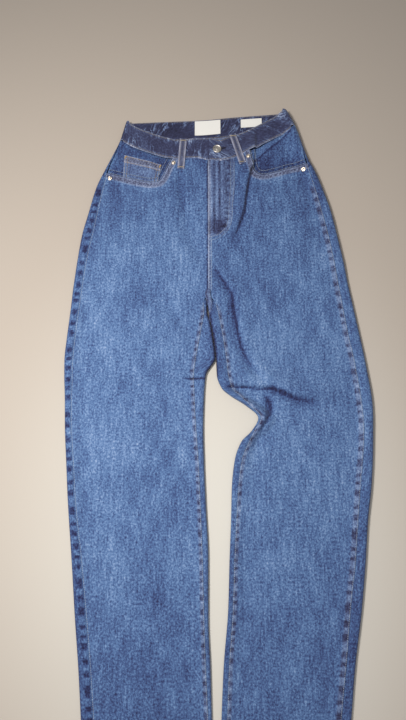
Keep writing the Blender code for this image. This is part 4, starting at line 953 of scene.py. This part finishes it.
tape_material = bpy.data.materials.new("satin_tape")
tape_material.use_nodes = True
nodes, links = tape_material.node_tree.nodes, tape_material.node_tree.links
shader = nodes["Principled BSDF"]
shader.inputs["Base Color"].default_value = (0.80, 0.785, 0.74, 1)
shader.inputs["Roughness"].default_value = 0.42
where = nodes.new("ShaderNodeTexCoord")
weft = nodes.new("ShaderNodeTexWave")
weft.bands_direction = "Y"
weft.inputs["Scale"].default_value = 900.0
bump = nodes.new("ShaderNodeBump")
bump.inputs["Strength"].default_value, bump.inputs["Distance"].default_value = 0.3, 0.0001
links.new(where.outputs["Object"], weft.inputs["Vector"])
links.new(weft.outputs["Fac"], bump.inputs["Height"])
links.new(bump.outputs["Normal"], shader.inputs["Normal"])

for name, (x0, x1, below, depth) in LABELS.items():
    u, v = np.linspace(0, 1, 40)[None, :], np.linspace(0, 1, 26)[:, None]
    x = x0 + u * (x1 - x0) + 0 * v
    height = along(BACK_WAIST_EDGE, x) - below - v * depth
    curl = 0.5 * (4 * (u - 0.5) ** 2) ** 3 * v + 0.25 * mottle(x, height, 14.0, 12.0) * v
    surface = np.stack([x, height, rest(height) + BAND + 0.95 + curl], axis=-1)
    label = sewn_cloth(name + "_tape", surface, 0.45, surface[..., :2], 1.0, tape_material, flip=True)
    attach(label, "root")
    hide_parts(name)

# Pocket facings: the body denim that shows inside each front pocket mouth, sewn into the side and
# waist seams. The left one is buckled towards the band; painted shade darkens its colour in and below the buckle's
# fold, and the strip above it is lighter.
FACING_FOOT = {"right": 204.0, "left": 222.0}
LEFT_FACING_BUCKLE = ((89, 266), (116, 290), (145, 314), (165, 333))
FACING = 1.2


def facing_face(leg, q, height):
    """The facing's upper face: under the lowest place of the front close by."""
    reach = [(0, 0), (-7, 0), (0, -7), (0, 7), (-7, -7), (-7, 7)]
    near = smoothstep((150 - q) / 30)
    z = np.min([lying_height(leg, q + near * dq, height + near * dh) for dq, dh in reach], axis=0)
    over = height - np.interp(q, leg.mouth[::-1, 0], leg.mouth[::-1, 1])
    depth = 3.7 - 2.5 * smoothstep((over - 8) / 28) * smoothstep((q - 95) / 15)
    z = np.maximum(z - depth, rest(height) + DENIM + 0.4 + FACING)
    if leg.name == "left":
        z = (
            z
            + 1.3 * smoothstep((height - along(LEFT_FACING_BUCKLE, q) + 1.5) / 3) * smoothstep((q - 100) / 12)
        )
    return z


for leg in (RIGHT, LEFT):
    v, u = np.linspace(1, 0, 60)[:, None], np.linspace(0, 1, 80)[None, :]
    q_waist = leg.at("side_seam", 300.0 if leg.name == "right" else 325.0) - 1.2
    top = along(FRONT_WAIST_SEAM, leg.side * (q_waist + u * (48.0 - q_waist))) - SEAM_GAP
    height = FACING_FOOT[leg.name] + v * (top - FACING_FOOT[leg.name])
    outer = leg.at("side_seam", height) - 1.2
    q = outer + u * (48.0 - outer)
    x = leg.side * q
    z = facing_face(leg, q, height) + 0.2 * mottle(x, height, 18.0, 14.0) - 0.2
    tone = 0.365 + 0.05 * mottle(x, height, 22.0, 15.0) + 0.14 * bell((outer - q) / 3.5)
    if leg.name == "left":
        over = height - along(LEFT_FACING_BUCKLE, q)
        # Painted shade: darker in and below the buckle's fold, lighter on the strip above it.
        tone = tone - 0.16 * bell((over + 1) / 2.4) + 0.12 * smoothstep(over / 2) - 0.06
        tone = tone + 0.13 * smoothstep((q - 118) / 40) * smoothstep((height - 250) / 30)
    facing = sewn_cloth(
        "pocket_inside_" + leg.name, np.stack([x, height, z], -1), FACING * 0.8, np.stack([x + 4000, height], -1), tone,
        washed_denim, flip=leg.side < 0,
    )
    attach(facing, "root")
    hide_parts("pocket_facing_" + leg.name)

# Coin pocket: a small patch with a hemmed top, sewn on the right facing and tucked under the
# front panel at its foot.
COIN_TOP = ((160.0, 276.0), (89.0, 258.0))
COIN_FOOT = ((163.0, 212.0), (97.0, 207.0))

u, v = np.linspace(0, 1, 44)[None, :, None], np.linspace(0, 1, 40)[:, None, None]
corners = np.array([COIN_TOP, COIN_FOOT])
plan = (
    (1 - v) * ((1 - u) * corners[0, 0] + u * corners[0, 1])
    + v * ((1 - u) * corners[1, 0] + u * corners[1, 1])
)
q, height = plan[..., 0], plan[..., 1]
down = 62.0 * np.linspace(0, 1, 40)[:, None] + 0 * q
sideways = 68.0 * np.minimum(np.linspace(0, 1, 44), 1 - np.linspace(0, 1, 44))[None, :] + 0 * q
hem_band = smoothstep((16 - down) / 1.5)
z = facing_face(RIGHT, q, height) + 0.45 + FACING + 0.3 * hem_band - 0.5 * bell((down - 15.5) / 1.2)
z = z + 0.15 * mottle(q, height, 12.0, 16.0) - 0.5 * bell(sideways / 1.0)
tone = (
    0.45 - 0.02 * hem_band + 0.20 * bell(down / 1.5) + 0.16 * bell((down - 13) / 1.4)
    + 0.14 * bell((sideways - 1) / 1.8)
)
tone = (
    tone - hem_band * 0.16 * dashes(q * 1.2 + height, 7.0, 0.7) * bell((down - 7) / 4)
    + 0.03 * mottle(q, height, 9.0, 17.0)
)
coin = sewn_cloth(
    "coin_pocket_patch", np.stack([-q, height, z], -1), FACING * 0.8, np.stack([q + 5000, height], -1),
    tone, washed_denim, 0.35 * hem_band + 0.15, flip=True
)
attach(coin, "root")
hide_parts("coin_pocket")

# Back pockets: two plain five-sided patches on the seat, which the garment lies on. Nothing of
# them shows in the picture, so they have no ornament.
POCKET_MIDDLE = {"right": 101.0, "left": 106.0}

for leg in (RIGHT, LEFT):
    u, v = np.linspace(-1, 1, 60)[None, :], np.linspace(0, 1, 56)[:, None]
    top = 229 - 3 * u
    foot = 82 + 23 * np.abs(u)
    height = top + v * (foot - top)
    half = 71 - 7 * np.clip((229 - height) / 124, 0, 1)
    q = POCKET_MIDDLE[leg.name] + u * half
    rim = np.minimum((1 - np.abs(u)) * 68 + 0 * v, (1 - v) * 130 + 0 * u)
    hem_band = smoothstep((26 - v * 140) / 1.5) + 0 * u
    tone = (
        0.53 + 0.05 * mottle(q, height * 0.6, 40.0, 18.0 + leg.side) + 0.10 * bell((rim - 1) / 2.0)
        - 0.05 * bell((rim - 5) / 4)
    )
    tone = (
        tone - 0.14 * hem_band * dashes(q, 9.0, 1.7) * bell((v * 140 - 13) / 8) + 0.12 * bell(v * 140 / 2.0)
    )
    tone = tone - 0.12 * bell((rim - 8) / 3.0) * dashes(q * 1.4 + height, 17.0, 2.2)
    z = 0.05 + 0.35 * bell(rim / 1.6) + 0.12 * (1 + mottle(q, height, 21.0, 19.0)) * smoothstep(rim / 8)
    surface = np.stack([leg.side * q, height, z], axis=-1)
    pocket = sewn_cloth(
        "back_patch_" + leg.name, surface, 1.2 - 0.3 * bell(rim / 1.6), np.stack([leg.side * q + 6000, height], -1), tone,
        washed_denim, flip=leg.side < 0,
    )
    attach(pocket, "root")
    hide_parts("back_pocket_" + leg.name)

# Belt loops: two over the front of the band and three under its back. Each is a folded strip 13.5 mm
# wide, tacked down at both ends, with pale worn edges and a darker middle.
FRONT_LOOPS = {"belt_loop_front_right": (-47.0, -51.5), "belt_loop_front_left": (48.0, 67.0)}
BACK_LOOPS = {"belt_loop_back_right": -104.0, "belt_loop_back_centre": 0.0, "belt_loop_back_left": 108.0}
LOOP_WIDTH, LOOP_THICK, LOOP_BELOW = 13.5, 1.6, 22.0
loop_denim = denim("loop_denim", 0.22)


def loop_strip(name, x, height, under, face_down, v, u):
    """A loop's grid: rounded along both edges, pale there, and darker at the tacked ends."""
    rounded = 0.55 * np.abs(2 * u) ** 4 + 0 * v
    along_it = v * 62
    tone = (
        0.42 + 0.20 * bell((np.abs(2 * u) - 0.80) / 0.17) - 0.12 * bell(2 * u / 0.35)
        + 0.06 * mottle(u * 13.5, v * 62, 5.0, 31.0)
    )
    end = np.minimum(v, 1 - v) * 62
    tone = tone - 0.20 * bell((end - 3.0) / 1.6) + 0.12 * bell(end / 0.9)
    grey = 0.45 + 0.4 * bell((np.abs(2 * u) - 0.85) / 0.25) + 0 * v
    z = 0.35 + 0.6 * rounded if face_down else under + LOOP_THICK - rounded - 0.35 * bell((end - 3.0) / 1.5)
    surface = np.stack([x, height, z + 0 * x], axis=-1)
    strip = sewn_cloth(
        name + "_strip", surface, 1.0 if face_down else LOOP_THICK - 0.55 * rounded - 0.2, np.stack([u * LOOP_WIDTH + 7000 + 0 * v, along_it + 0 * u], -1),
        tone, loop_denim, grey, flip=not face_down,
    )
    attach(strip, "root")
    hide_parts(name)
    return strip


v, u = np.linspace(0, 1, 60)[:, None], np.linspace(-0.5, 0.5, 15)[None, :]
for name, (x_top, x_foot) in FRONT_LOOPS.items():
    y_top = float(along(FRONT_WAIST_EDGE, x_top)) + 1.0
    y_foot = float(along(FRONT_WAIST_SEAM, x_foot)) - LOOP_BELOW
    lean = math.atan2(x_foot - x_top, y_top - y_foot)
    x = x_top + v * (x_foot - x_top) + u * LOOP_WIDTH * math.cos(lean)
    height = y_top + v * (y_foot - y_top) + u * LOOP_WIDTH * math.sin(lean)
    left = lying_height(LEFT, np.maximum(x, 0.01), height, BAND_PROUD)
    right = lying_height(RIGHT, np.maximum(-x, 0.01), height, BAND_PROUD)
    under = np.where(x > 0, left, right) + 0.5 + 1.0 * np.sin(math.pi * v) ** 2
    strip = loop_strip(name, x, height, under, False, v, u)
for name, x_loop in BACK_LOOPS.items():
    y_top = float(along(BACK_WAIST_EDGE, x_loop)) - 0.5
    x = x_loop + u * LOOP_WIDTH + 0 * v
    height = y_top - v * (42.0 + LOOP_BELOW - 6) + 0 * u
    strip = loop_strip(name, x, height, 0 * x, True, v, u)

# Fly: under the left front lie a facing, a brass zip on dark tape with its slider, and a shield
# sewn to the right front. The fly is closed, so they only show from inside.
FLY_TOP, FLY_FOOT = 262.0, 100.0


def fly_layer(name, node, x, height, depth, thickness, tone, material):
    """A layer of the fly on a grid, at a depth under the front's face."""
    z = lying_height(LEFT, np.maximum(x, 0.01), height) - depth
    strip = sewn_cloth(
        name, np.stack([x, height, z], -1), thickness, np.stack([x + 8000, height], -1), tone, material
    )
    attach(strip, "root")
    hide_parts(node)


v, u = np.linspace(0, 1, 60)[:, None], np.linspace(0, 1, 16)[None, :]
height = FLY_FOOT + 6 + v * (FLY_TOP - FLY_FOOT - 6) + 0 * u
fly_layer(
    "fly_facing_strip", "fly_facing", 1.5 + u * (14 + 30 * smoothstep(v / 0.25)), height, DENIM + 0.9, 1.0,
    0.36, washed_denim
)
fly_layer(
    "zip_tape", "zip", -7 + u * 30 + 0 * v, height + 4, 6.2, 0.7, 0.16, new_denim,
)
fly_layer(
    "fly_shield_strip", "fly_shield", -16 + u * 50 + 0 * v, height + 4, 8.0, 1.0, 0.36, washed_denim,
)


def metal(name, colour, roughness):
    """Tumbled metal: dull, with darker stains where the finish has rubbed off."""
    material = bpy.data.materials.new(name)
    material.use_nodes = True
    nodes, links = material.node_tree.nodes, material.node_tree.links
    shader = nodes["Principled BSDF"]
    shader.inputs["Metallic"].default_value = 0.85
    shader.inputs["Roughness"].default_value = roughness
    where = nodes.new("ShaderNodeTexCoord")
    stain = nodes.new("ShaderNodeTexNoise")
    stain.inputs["Scale"].default_value, stain.inputs["Detail"].default_value = 420.0, 3.0
    tint = nodes.new("ShaderNodeValToRGB")
    tint.color_ramp.elements[0].position, tint.color_ramp.elements[0].color = 0.35, (*[0.45 * c for c in colour], 1)
    tint.color_ramp.elements[1].position, tint.color_ramp.elements[1].color = 0.6, (*colour, 1)
    links.new(where.outputs["Object"], stain.inputs["Vector"])
    links.new(stain.outputs["Fac"], tint.inputs["Fac"])
    links.new(tint.outputs["Color"], shader.inputs["Base Color"])
    return material


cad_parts["zip_slider"].data.materials.clear()
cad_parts["zip_slider"].data.materials.append(metal("zip_brass", (0.60, 0.47, 0.25), 0.35))

# Button and rivets: a shank button of antiqued pewter colour on the lapped ends of the band, and
# four domed copper-plated rivets at the pocket corners, worn pale.
RIVETS = {
    "rivet_right_waist": (-65.5, 261.0), "rivet_right_side": (-186.0, 227.5),
    "rivet_left_waist": (77.5, 273.0), "rivet_left_side": (182.0, 245.0),
}


def turned(name, centre, profile, base, material, sides=64):
    """A round piece: a profile of (radius, z) turned about an upright axis over base(x, y)."""
    radius, z = np.array(profile, float).T
    angle = np.arange(sides) * 2 * math.pi / sides
    x = centre[0] + radius[:, None] * np.cos(angle)
    y = centre[1] + radius[:, None] * np.sin(angle)
    ends = np.array([[centre[0], centre[1], z[0]], [centre[0], centre[1], z[-1]]])
    rings = np.stack([x, y, z[:, None] + 0 * x], axis=-1).reshape(-1, 3)
    points = np.concatenate([rings, ends])
    points[:, 2] += base(points[:, 0], points[:, 1])
    points[:, :2] += PLACE
    index = np.arange(len(radius) * sides).reshape(len(radius), sides)
    around = np.roll(index, -1, axis=1)
    walls = np.stack([index[:-1], around[:-1], around[1:], index[1:]], -1).reshape(-1, 4)
    low = np.stack([around[0], index[0], np.full(sides, len(rings))], -1)
    high = np.stack([index[-1], around[-1], np.full(sides, len(rings) + 1)], -1)
    mesh = bpy.data.meshes.new(name)
    mesh.from_pydata((points / 1000).tolist(), [], walls.tolist() + low.tolist() + high.tolist())
    mesh.shade_smooth()
    mesh.set_sharp_from_angle(angle=math.radians(50))
    mesh.materials.append(material)
    piece = bpy.data.objects.new(name, mesh)
    bpy.context.scene.collection.objects.link(piece)
    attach(piece, "root")
    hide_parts(name.replace("_turned", ""))


def band_face(x, y):
    return lying_height(LEFT, np.maximum(x, 0.01), y, BAND_PROUD)


turned("button_turned", BUTTON_AT, (
    (2.2, -2.0), (2.2, 0.35), (7.6, 0.35), (8.3, 0.7), (8.5, 1.2), (8.3, 1.8), (7.7, 2.3), (7.1, 2.45), (
        6.6, 2.3
    ),
    (6.3, 1.95), (4.7, 1.9), (4.3, 2.15), (3.6, 2.2), (3.2, 2.0), (2.7, 2.05), (1.6, 2.6), (0.8, 2.75),
), band_face, metal("pewter", (0.62, 0.58, 0.53), 0.38))
copper = metal("rivet_copper", (0.80, 0.70, 0.58), 0.40)
for name, centre in RIVETS.items():
    turned(name + "_turned", centre, (
        (3.0, 0.2), (3.7, 0.45), (3.9, 0.8), (3.6, 1.15), (2.9, 1.3), (2.5, 1.15), (1.9, 1.2), (1.2, 1.7), (
            0.5, 1.85
        ),
    ), front_face, copper, 40)

# Sewing: rows of single threads standing on the cloth. Tan thread holds the band, the loops and the
# coin pocket, and pale blue-grey thread holds the seams, the pocket mouths and the fly.


def thread_material(name, colour):
    material = bpy.data.materials.new(name)
    material.use_nodes = True
    nodes, links = material.node_tree.nodes, material.node_tree.links
    shader = nodes["Principled BSDF"]
    shader.inputs["Roughness"].default_value = 0.7
    where = nodes.new("ShaderNodeTexCoord")
    fade = nodes.new("ShaderNodeTexNoise")
    fade.inputs["Scale"].default_value = 160.0
    tint = nodes.new("ShaderNodeValToRGB")
    tint.color_ramp.elements[0].position, tint.color_ramp.elements[0].color = 0.35, (*[0.6 * c for c in colour], 1)
    tint.color_ramp.elements[1].position, tint.color_ramp.elements[1].color = 0.65, (*colour, 1)
    links.new(where.outputs["Object"], fade.inputs["Vector"])
    links.new(fade.outputs["Fac"], tint.inputs["Fac"])
    links.new(tint.outputs["Color"], shader.inputs["Base Color"])
    return material


def row_of_stitches(line, pitch=3.3, length=2.5):
    """Starts and ends of the threads along a line of points, evenly spaced along it."""
    line = np.asarray(line, float)
    reach = np.concatenate([[0], np.cumsum(np.linalg.norm(np.diff(line, axis=0), axis=1))])
    start = np.arange(0.4, reach[-1] - length, pitch)
    starts = np.stack([np.interp(start, reach, line[:, k]) for k in range(3)], axis=1)
    ends = np.stack([np.interp(start + length, reach, line[:, k]) for k in range(3)], axis=1)
    return np.stack([starts, ends], axis=1)


def tack(a, b, width, turns):
    """A bar tack: a close zigzag of threads from a to b."""
    a, b = np.asarray(a, float), np.asarray(b, float)
    t = np.linspace(0, 1, turns)[:, None]
    across = unit(np.cross(b - a, [0, 0, 1.0])) * width / 2
    side = np.where(np.arange(turns) % 2, 1.0, -1.0)[:, None]
    zigzag = a + t * (b - a) + side * across
    return np.stack([zigzag[:-1], zigzag[1:]], axis=1)


def sew(name, stitches, material, up=1.0, thick=0.38):
    """Joins all threads in one mesh: each is a small bar of four rings that arches over the
    cloth and dips into it at both ends. up is -1 on the underside."""
    ab = np.concatenate(stitches)
    a, b = ab[:, 0], ab[:, 1]
    ahead = unit(b - a)
    over = np.array([0.0, 0.0, up])
    side = unit(np.cross(np.broadcast_to(over, ahead.shape), ahead))
    t = np.array([0.0, 0.22, 0.78, 1.0])[None, :, None, None]
    lift = np.array([-0.30, 0.22, 0.22, -0.30])[None, :, None, None]
    wide = thick * np.array([0.6, 1.0, 1.0, 0.6])[None, :, None, None]
    angle = np.arange(5) * 2 * math.pi / 5 + 0.3
    centre = a[:, None, None] + t * (b - a)[:, None, None] + lift * over
    ring = (
        np.cos(angle)[None, None, :, None] * side[:, None, None] + np.sin(angle)[None, None, :, None] * over
    )
    points = (centre + wide * ring).reshape(-1, 3)
    points[:, :2] += PLACE
    count = len(a)
    index = np.arange(count * 20).reshape(count, 4, 5)
    around = np.roll(index, -1, axis=2)
    quads = np.stack([index[:, :-1], around[:, :-1], around[:, 1:], index[:, 1:]], -1).reshape(-1, 4)
    caps = np.concatenate([index[:, 0, ::-1], index[:, 3]])
    mesh = bpy.data.meshes.new(name)
    loops = np.concatenate([quads.ravel(), caps.ravel()])
    totals = np.concatenate([np.full(len(quads), 4), np.full(len(caps), 5)])
    mesh.vertices.add(len(points))
    mesh.vertices.foreach_set("co", (points / 1000).astype(np.float32).ravel())
    mesh.loops.add(len(loops))
    mesh.loops.foreach_set("vertex_index", loops.astype(np.int32))
    mesh.polygons.add(len(totals))
    mesh.polygons.foreach_set("loop_start", (np.cumsum(totals) - totals).astype(np.int32))
    mesh.polygons.foreach_set("loop_total", totals.astype(np.int32))
    mesh.update(calc_edges=True)
    mesh.shade_smooth()
    mesh.materials.append(material)
    piece = bpy.data.objects.new(name, mesh)
    bpy.context.scene.collection.objects.link(piece)
    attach(piece, "root")
    return piece


def on_front(x, height, proud=0.0):
    x, height = np.broadcast_arrays(np.asarray(x, float), np.asarray(height, float))
    return np.stack([x, height, front_face(x, height, proud)], axis=1)


pale_thread = thread_material("pale_thread", (0.40, 0.46, 0.55))
tan_thread = thread_material("tan_thread", (0.36, 0.31, 0.24))
for leg in (RIGHT, LEFT):
    rows = []
    height = np.linspace(leg.mouth[0, 1] - 3, HEM_HEIGHT + HEM_DEPTH + 1, 900)
    rows.append(row_of_stitches(on_front(leg.side * (leg.at("side_seam", height) - 1.9), height)))
    height = np.linspace(-18, HEM_HEIGHT + HEM_DEPTH + 1, 800)
    rows.append(row_of_stitches(on_front(leg.side * (leg.at("inseam", height) + 1.9), height)))
    for inward in (1.8, 9.0):
        step = np.gradient(leg.mouth, axis=0)
        normal = unit(np.stack([step[:, 1], -step[:, 0]], axis=1))
        inner_line = leg.mouth + inward * normal
        keep = (inner_line[:, 0] < leg.at("side_seam", inner_line[:, 1]) - 2) & (
            inner_line[:, 1] < along(FRONT_WAIST_SEAM, leg.side * inner_line[:, 0]) - 1
        )
        rows.append(row_of_stitches(on_front(leg.side * inner_line[keep, 0], inner_line[keep, 1]), 3.0, 2.3))
    hem_row = HEM_HEIGHT + 12.5
    q, z = ring_of(leg, np.array([[hem_row]]))
    rows.append(row_of_stitches(np.stack([leg.side * q[0], 0 * q[0] + hem_row, z[0]], axis=1)))
    sew("seam_stitches_" + leg.name, rows, pale_thread)

rows = []
stitch = np.array(FLY_STITCH, float)
chord = np.concatenate([[0], np.cumsum(np.hypot(*np.diff(stitch, axis=0).T))])
at = np.linspace(0, chord[-1], 300)
curve = np.stack([through(chord, stitch[:, 0], at), through(chord, stitch[:, 1], at)], axis=1)
step = np.gradient(curve, axis=0)
normal = unit(np.stack([step[:, 1], -step[:, 0]], axis=1))
for outward in (0.0, -6.5):
    line = curve + outward * normal
    rows.append(row_of_stitches(on_front(line[:, 0], line[:, 1]), 3.0, 2.3))
height = np.linspace(263, 4, 400)
rows.append(row_of_stitches(on_front(1.9, height), 3.0, 2.3))
height = np.linspace(108, 4, 200)
rows.append(row_of_stitches(on_front(6.8, height), 3.0, 2.3))
sew("fly_stitches", rows, pale_thread)

rows = []
for leg in (RIGHT, LEFT):
    for rise_at in (0.065, 0.935):
        end = band_corner(leg, rise_at, np.array([1.0]))[0][0]
        x = np.linspace(4.5 if leg.name == "left" else 1.5, end, 300)
        height, z = band_front(x, rise_at)
        rows.append(row_of_stitches(np.stack([x, height, z - 0.1], axis=1), 3.0, 2.3))
x = np.linspace(-150, 150, 600)
share = (x + 159.0) / 314.0
for rise_at in (0.065, 0.935):
    height = band_line(BACK_WAIST_SEAM, BACK_WAIST_EDGE, share, rise_at)[1]
    rows.append(row_of_stitches(np.stack([x, height, rest(height) + BAND], axis=1), 3.0, 2.3))
for name, (x_top, x_foot) in FRONT_LOOPS.items():
    y_top = float(along(FRONT_WAIST_EDGE, x_top)) + 1.0
    y_foot = float(along(FRONT_WAIST_SEAM, x_foot)) - LOOP_BELOW
    v = np.linspace(0.02, 0.98, 60)
    for across in (-3.6, 3.6):
        x, height = x_top + v * (x_foot - x_top) + across, y_top + v * (y_foot - y_top)
        z = np.where(
            x > 0, lying_height(LEFT, np.maximum(x, 0.01), height, BAND_PROUD),
            lying_height(RIGHT, np.maximum(-x, 0.01), height, BAND_PROUD)
        )
        rows.append(
            row_of_stitches(
                np.stack([x, height, z + 0.5 + LOOP_THICK + np.sin(math.pi * v) ** 2 - 0.05], axis=1), 3.0,
                2.3
            )
        )
    for v_at in (0.05, 0.95):
        x, height = x_top + v_at * (x_foot - x_top), y_top + v_at * (y_foot - y_top)
        z = (
            float(lying_height(LEFT if x > 0 else RIGHT, abs(x), height, BAND_PROUD)) + 0.5 + LOOP_THICK
            - 0.15
        )
        rows.append(tack((x - 5.5, height, z), (x + 5.5, height, z), 2.4, 26))
sew("band_stitches", rows, tan_thread)

rows = []
for first, second, inset in ((COIN_TOP[0], COIN_TOP[1], 2.0), (COIN_TOP[0], COIN_TOP[1], 13.5)):
    t = np.linspace(0.02, 0.98, 120)
    q = first[0] + t * (second[0] - first[0])
    height = first[1] + t * (second[1] - first[1]) - inset
    rows.append(
        row_of_stitches(
            np.stack([-q, height, facing_face(RIGHT, q, height) + 0.45 + FACING + 0.2], axis=1), 3.0, 2.3
        )
    )
for k, inset in ((0, -2.0), (0, -7.0), (1, 2.0), (1, 7.0)):
    t = np.linspace(0.03, 0.7, 60)
    q = COIN_TOP[k][0] + t * (COIN_FOOT[k][0] - COIN_TOP[k][0]) + inset
    height = COIN_TOP[k][1] + t * (COIN_FOOT[k][1] - COIN_TOP[k][1])
    rows.append(
        row_of_stitches(
            np.stack([-q, height, facing_face(RIGHT, q, height) + 0.45 + FACING + 0.1], axis=1), 3.0, 2.3
        )
    )
for q, height in ((157.5, 274.0), (91.5, 257.0)):
    z = float(facing_face(RIGHT, np.array(q), np.array(height))) + 0.45 + FACING + 0.3
    rows.append(tack((-q - 1.5, height - 5.0, z), (-q + 1.5, height + 0.5, z), 3.0, 12))
sew("coin_stitches", rows, thread_material("ochre_thread", (0.44, 0.30, 0.12)))

rows = []
for leg in (RIGHT, LEFT):
    c = np.linspace(0.9, 3.0, 400)
    for below in (2.0, 8.0):
        height = yoke_seam(leg, c) - below
        q, _ = back_sheet(leg, c, height)
        rows.append(row_of_stitches(np.stack([leg.side * q, height, rest(height)], axis=1)))
    middle = POCKET_MIDDLE[leg.name]
    for inset in (2.0, 8.0):
        ring = [
            (-70 + inset, 228), (-64 + inset, 105 + 0.6 * inset), (0, 82 + 1.1 * inset),
            (64 - inset, 105 + 0.6 * inset), (70 - inset, 225)
        ]
        ring = np.array(ring)
        t = np.linspace(0, 4, 400)
        line = np.stack(
            [np.interp(t, np.arange(5), ring[:, 0]), np.interp(t, np.arange(5), ring[:, 1]), 0 * t + 0.15],
            axis=1
        )
        line[:, 0] = leg.side * (line[:, 0] + middle)
        rows.append(row_of_stitches(line))
    t = np.linspace(-68, 68, 200)
    rows.append(row_of_stitches(np.stack([leg.side * (middle + t), 205 - t * 0.04, 0 * t + 0.15], axis=1)))
    height = np.linspace(250, 6, 300)
    rows.append(row_of_stitches(np.stack([0 * height + leg.side * 3.0, height, rest(height)], axis=1)))
sew("back_stitches", rows, pale_thread, up=-1.0)
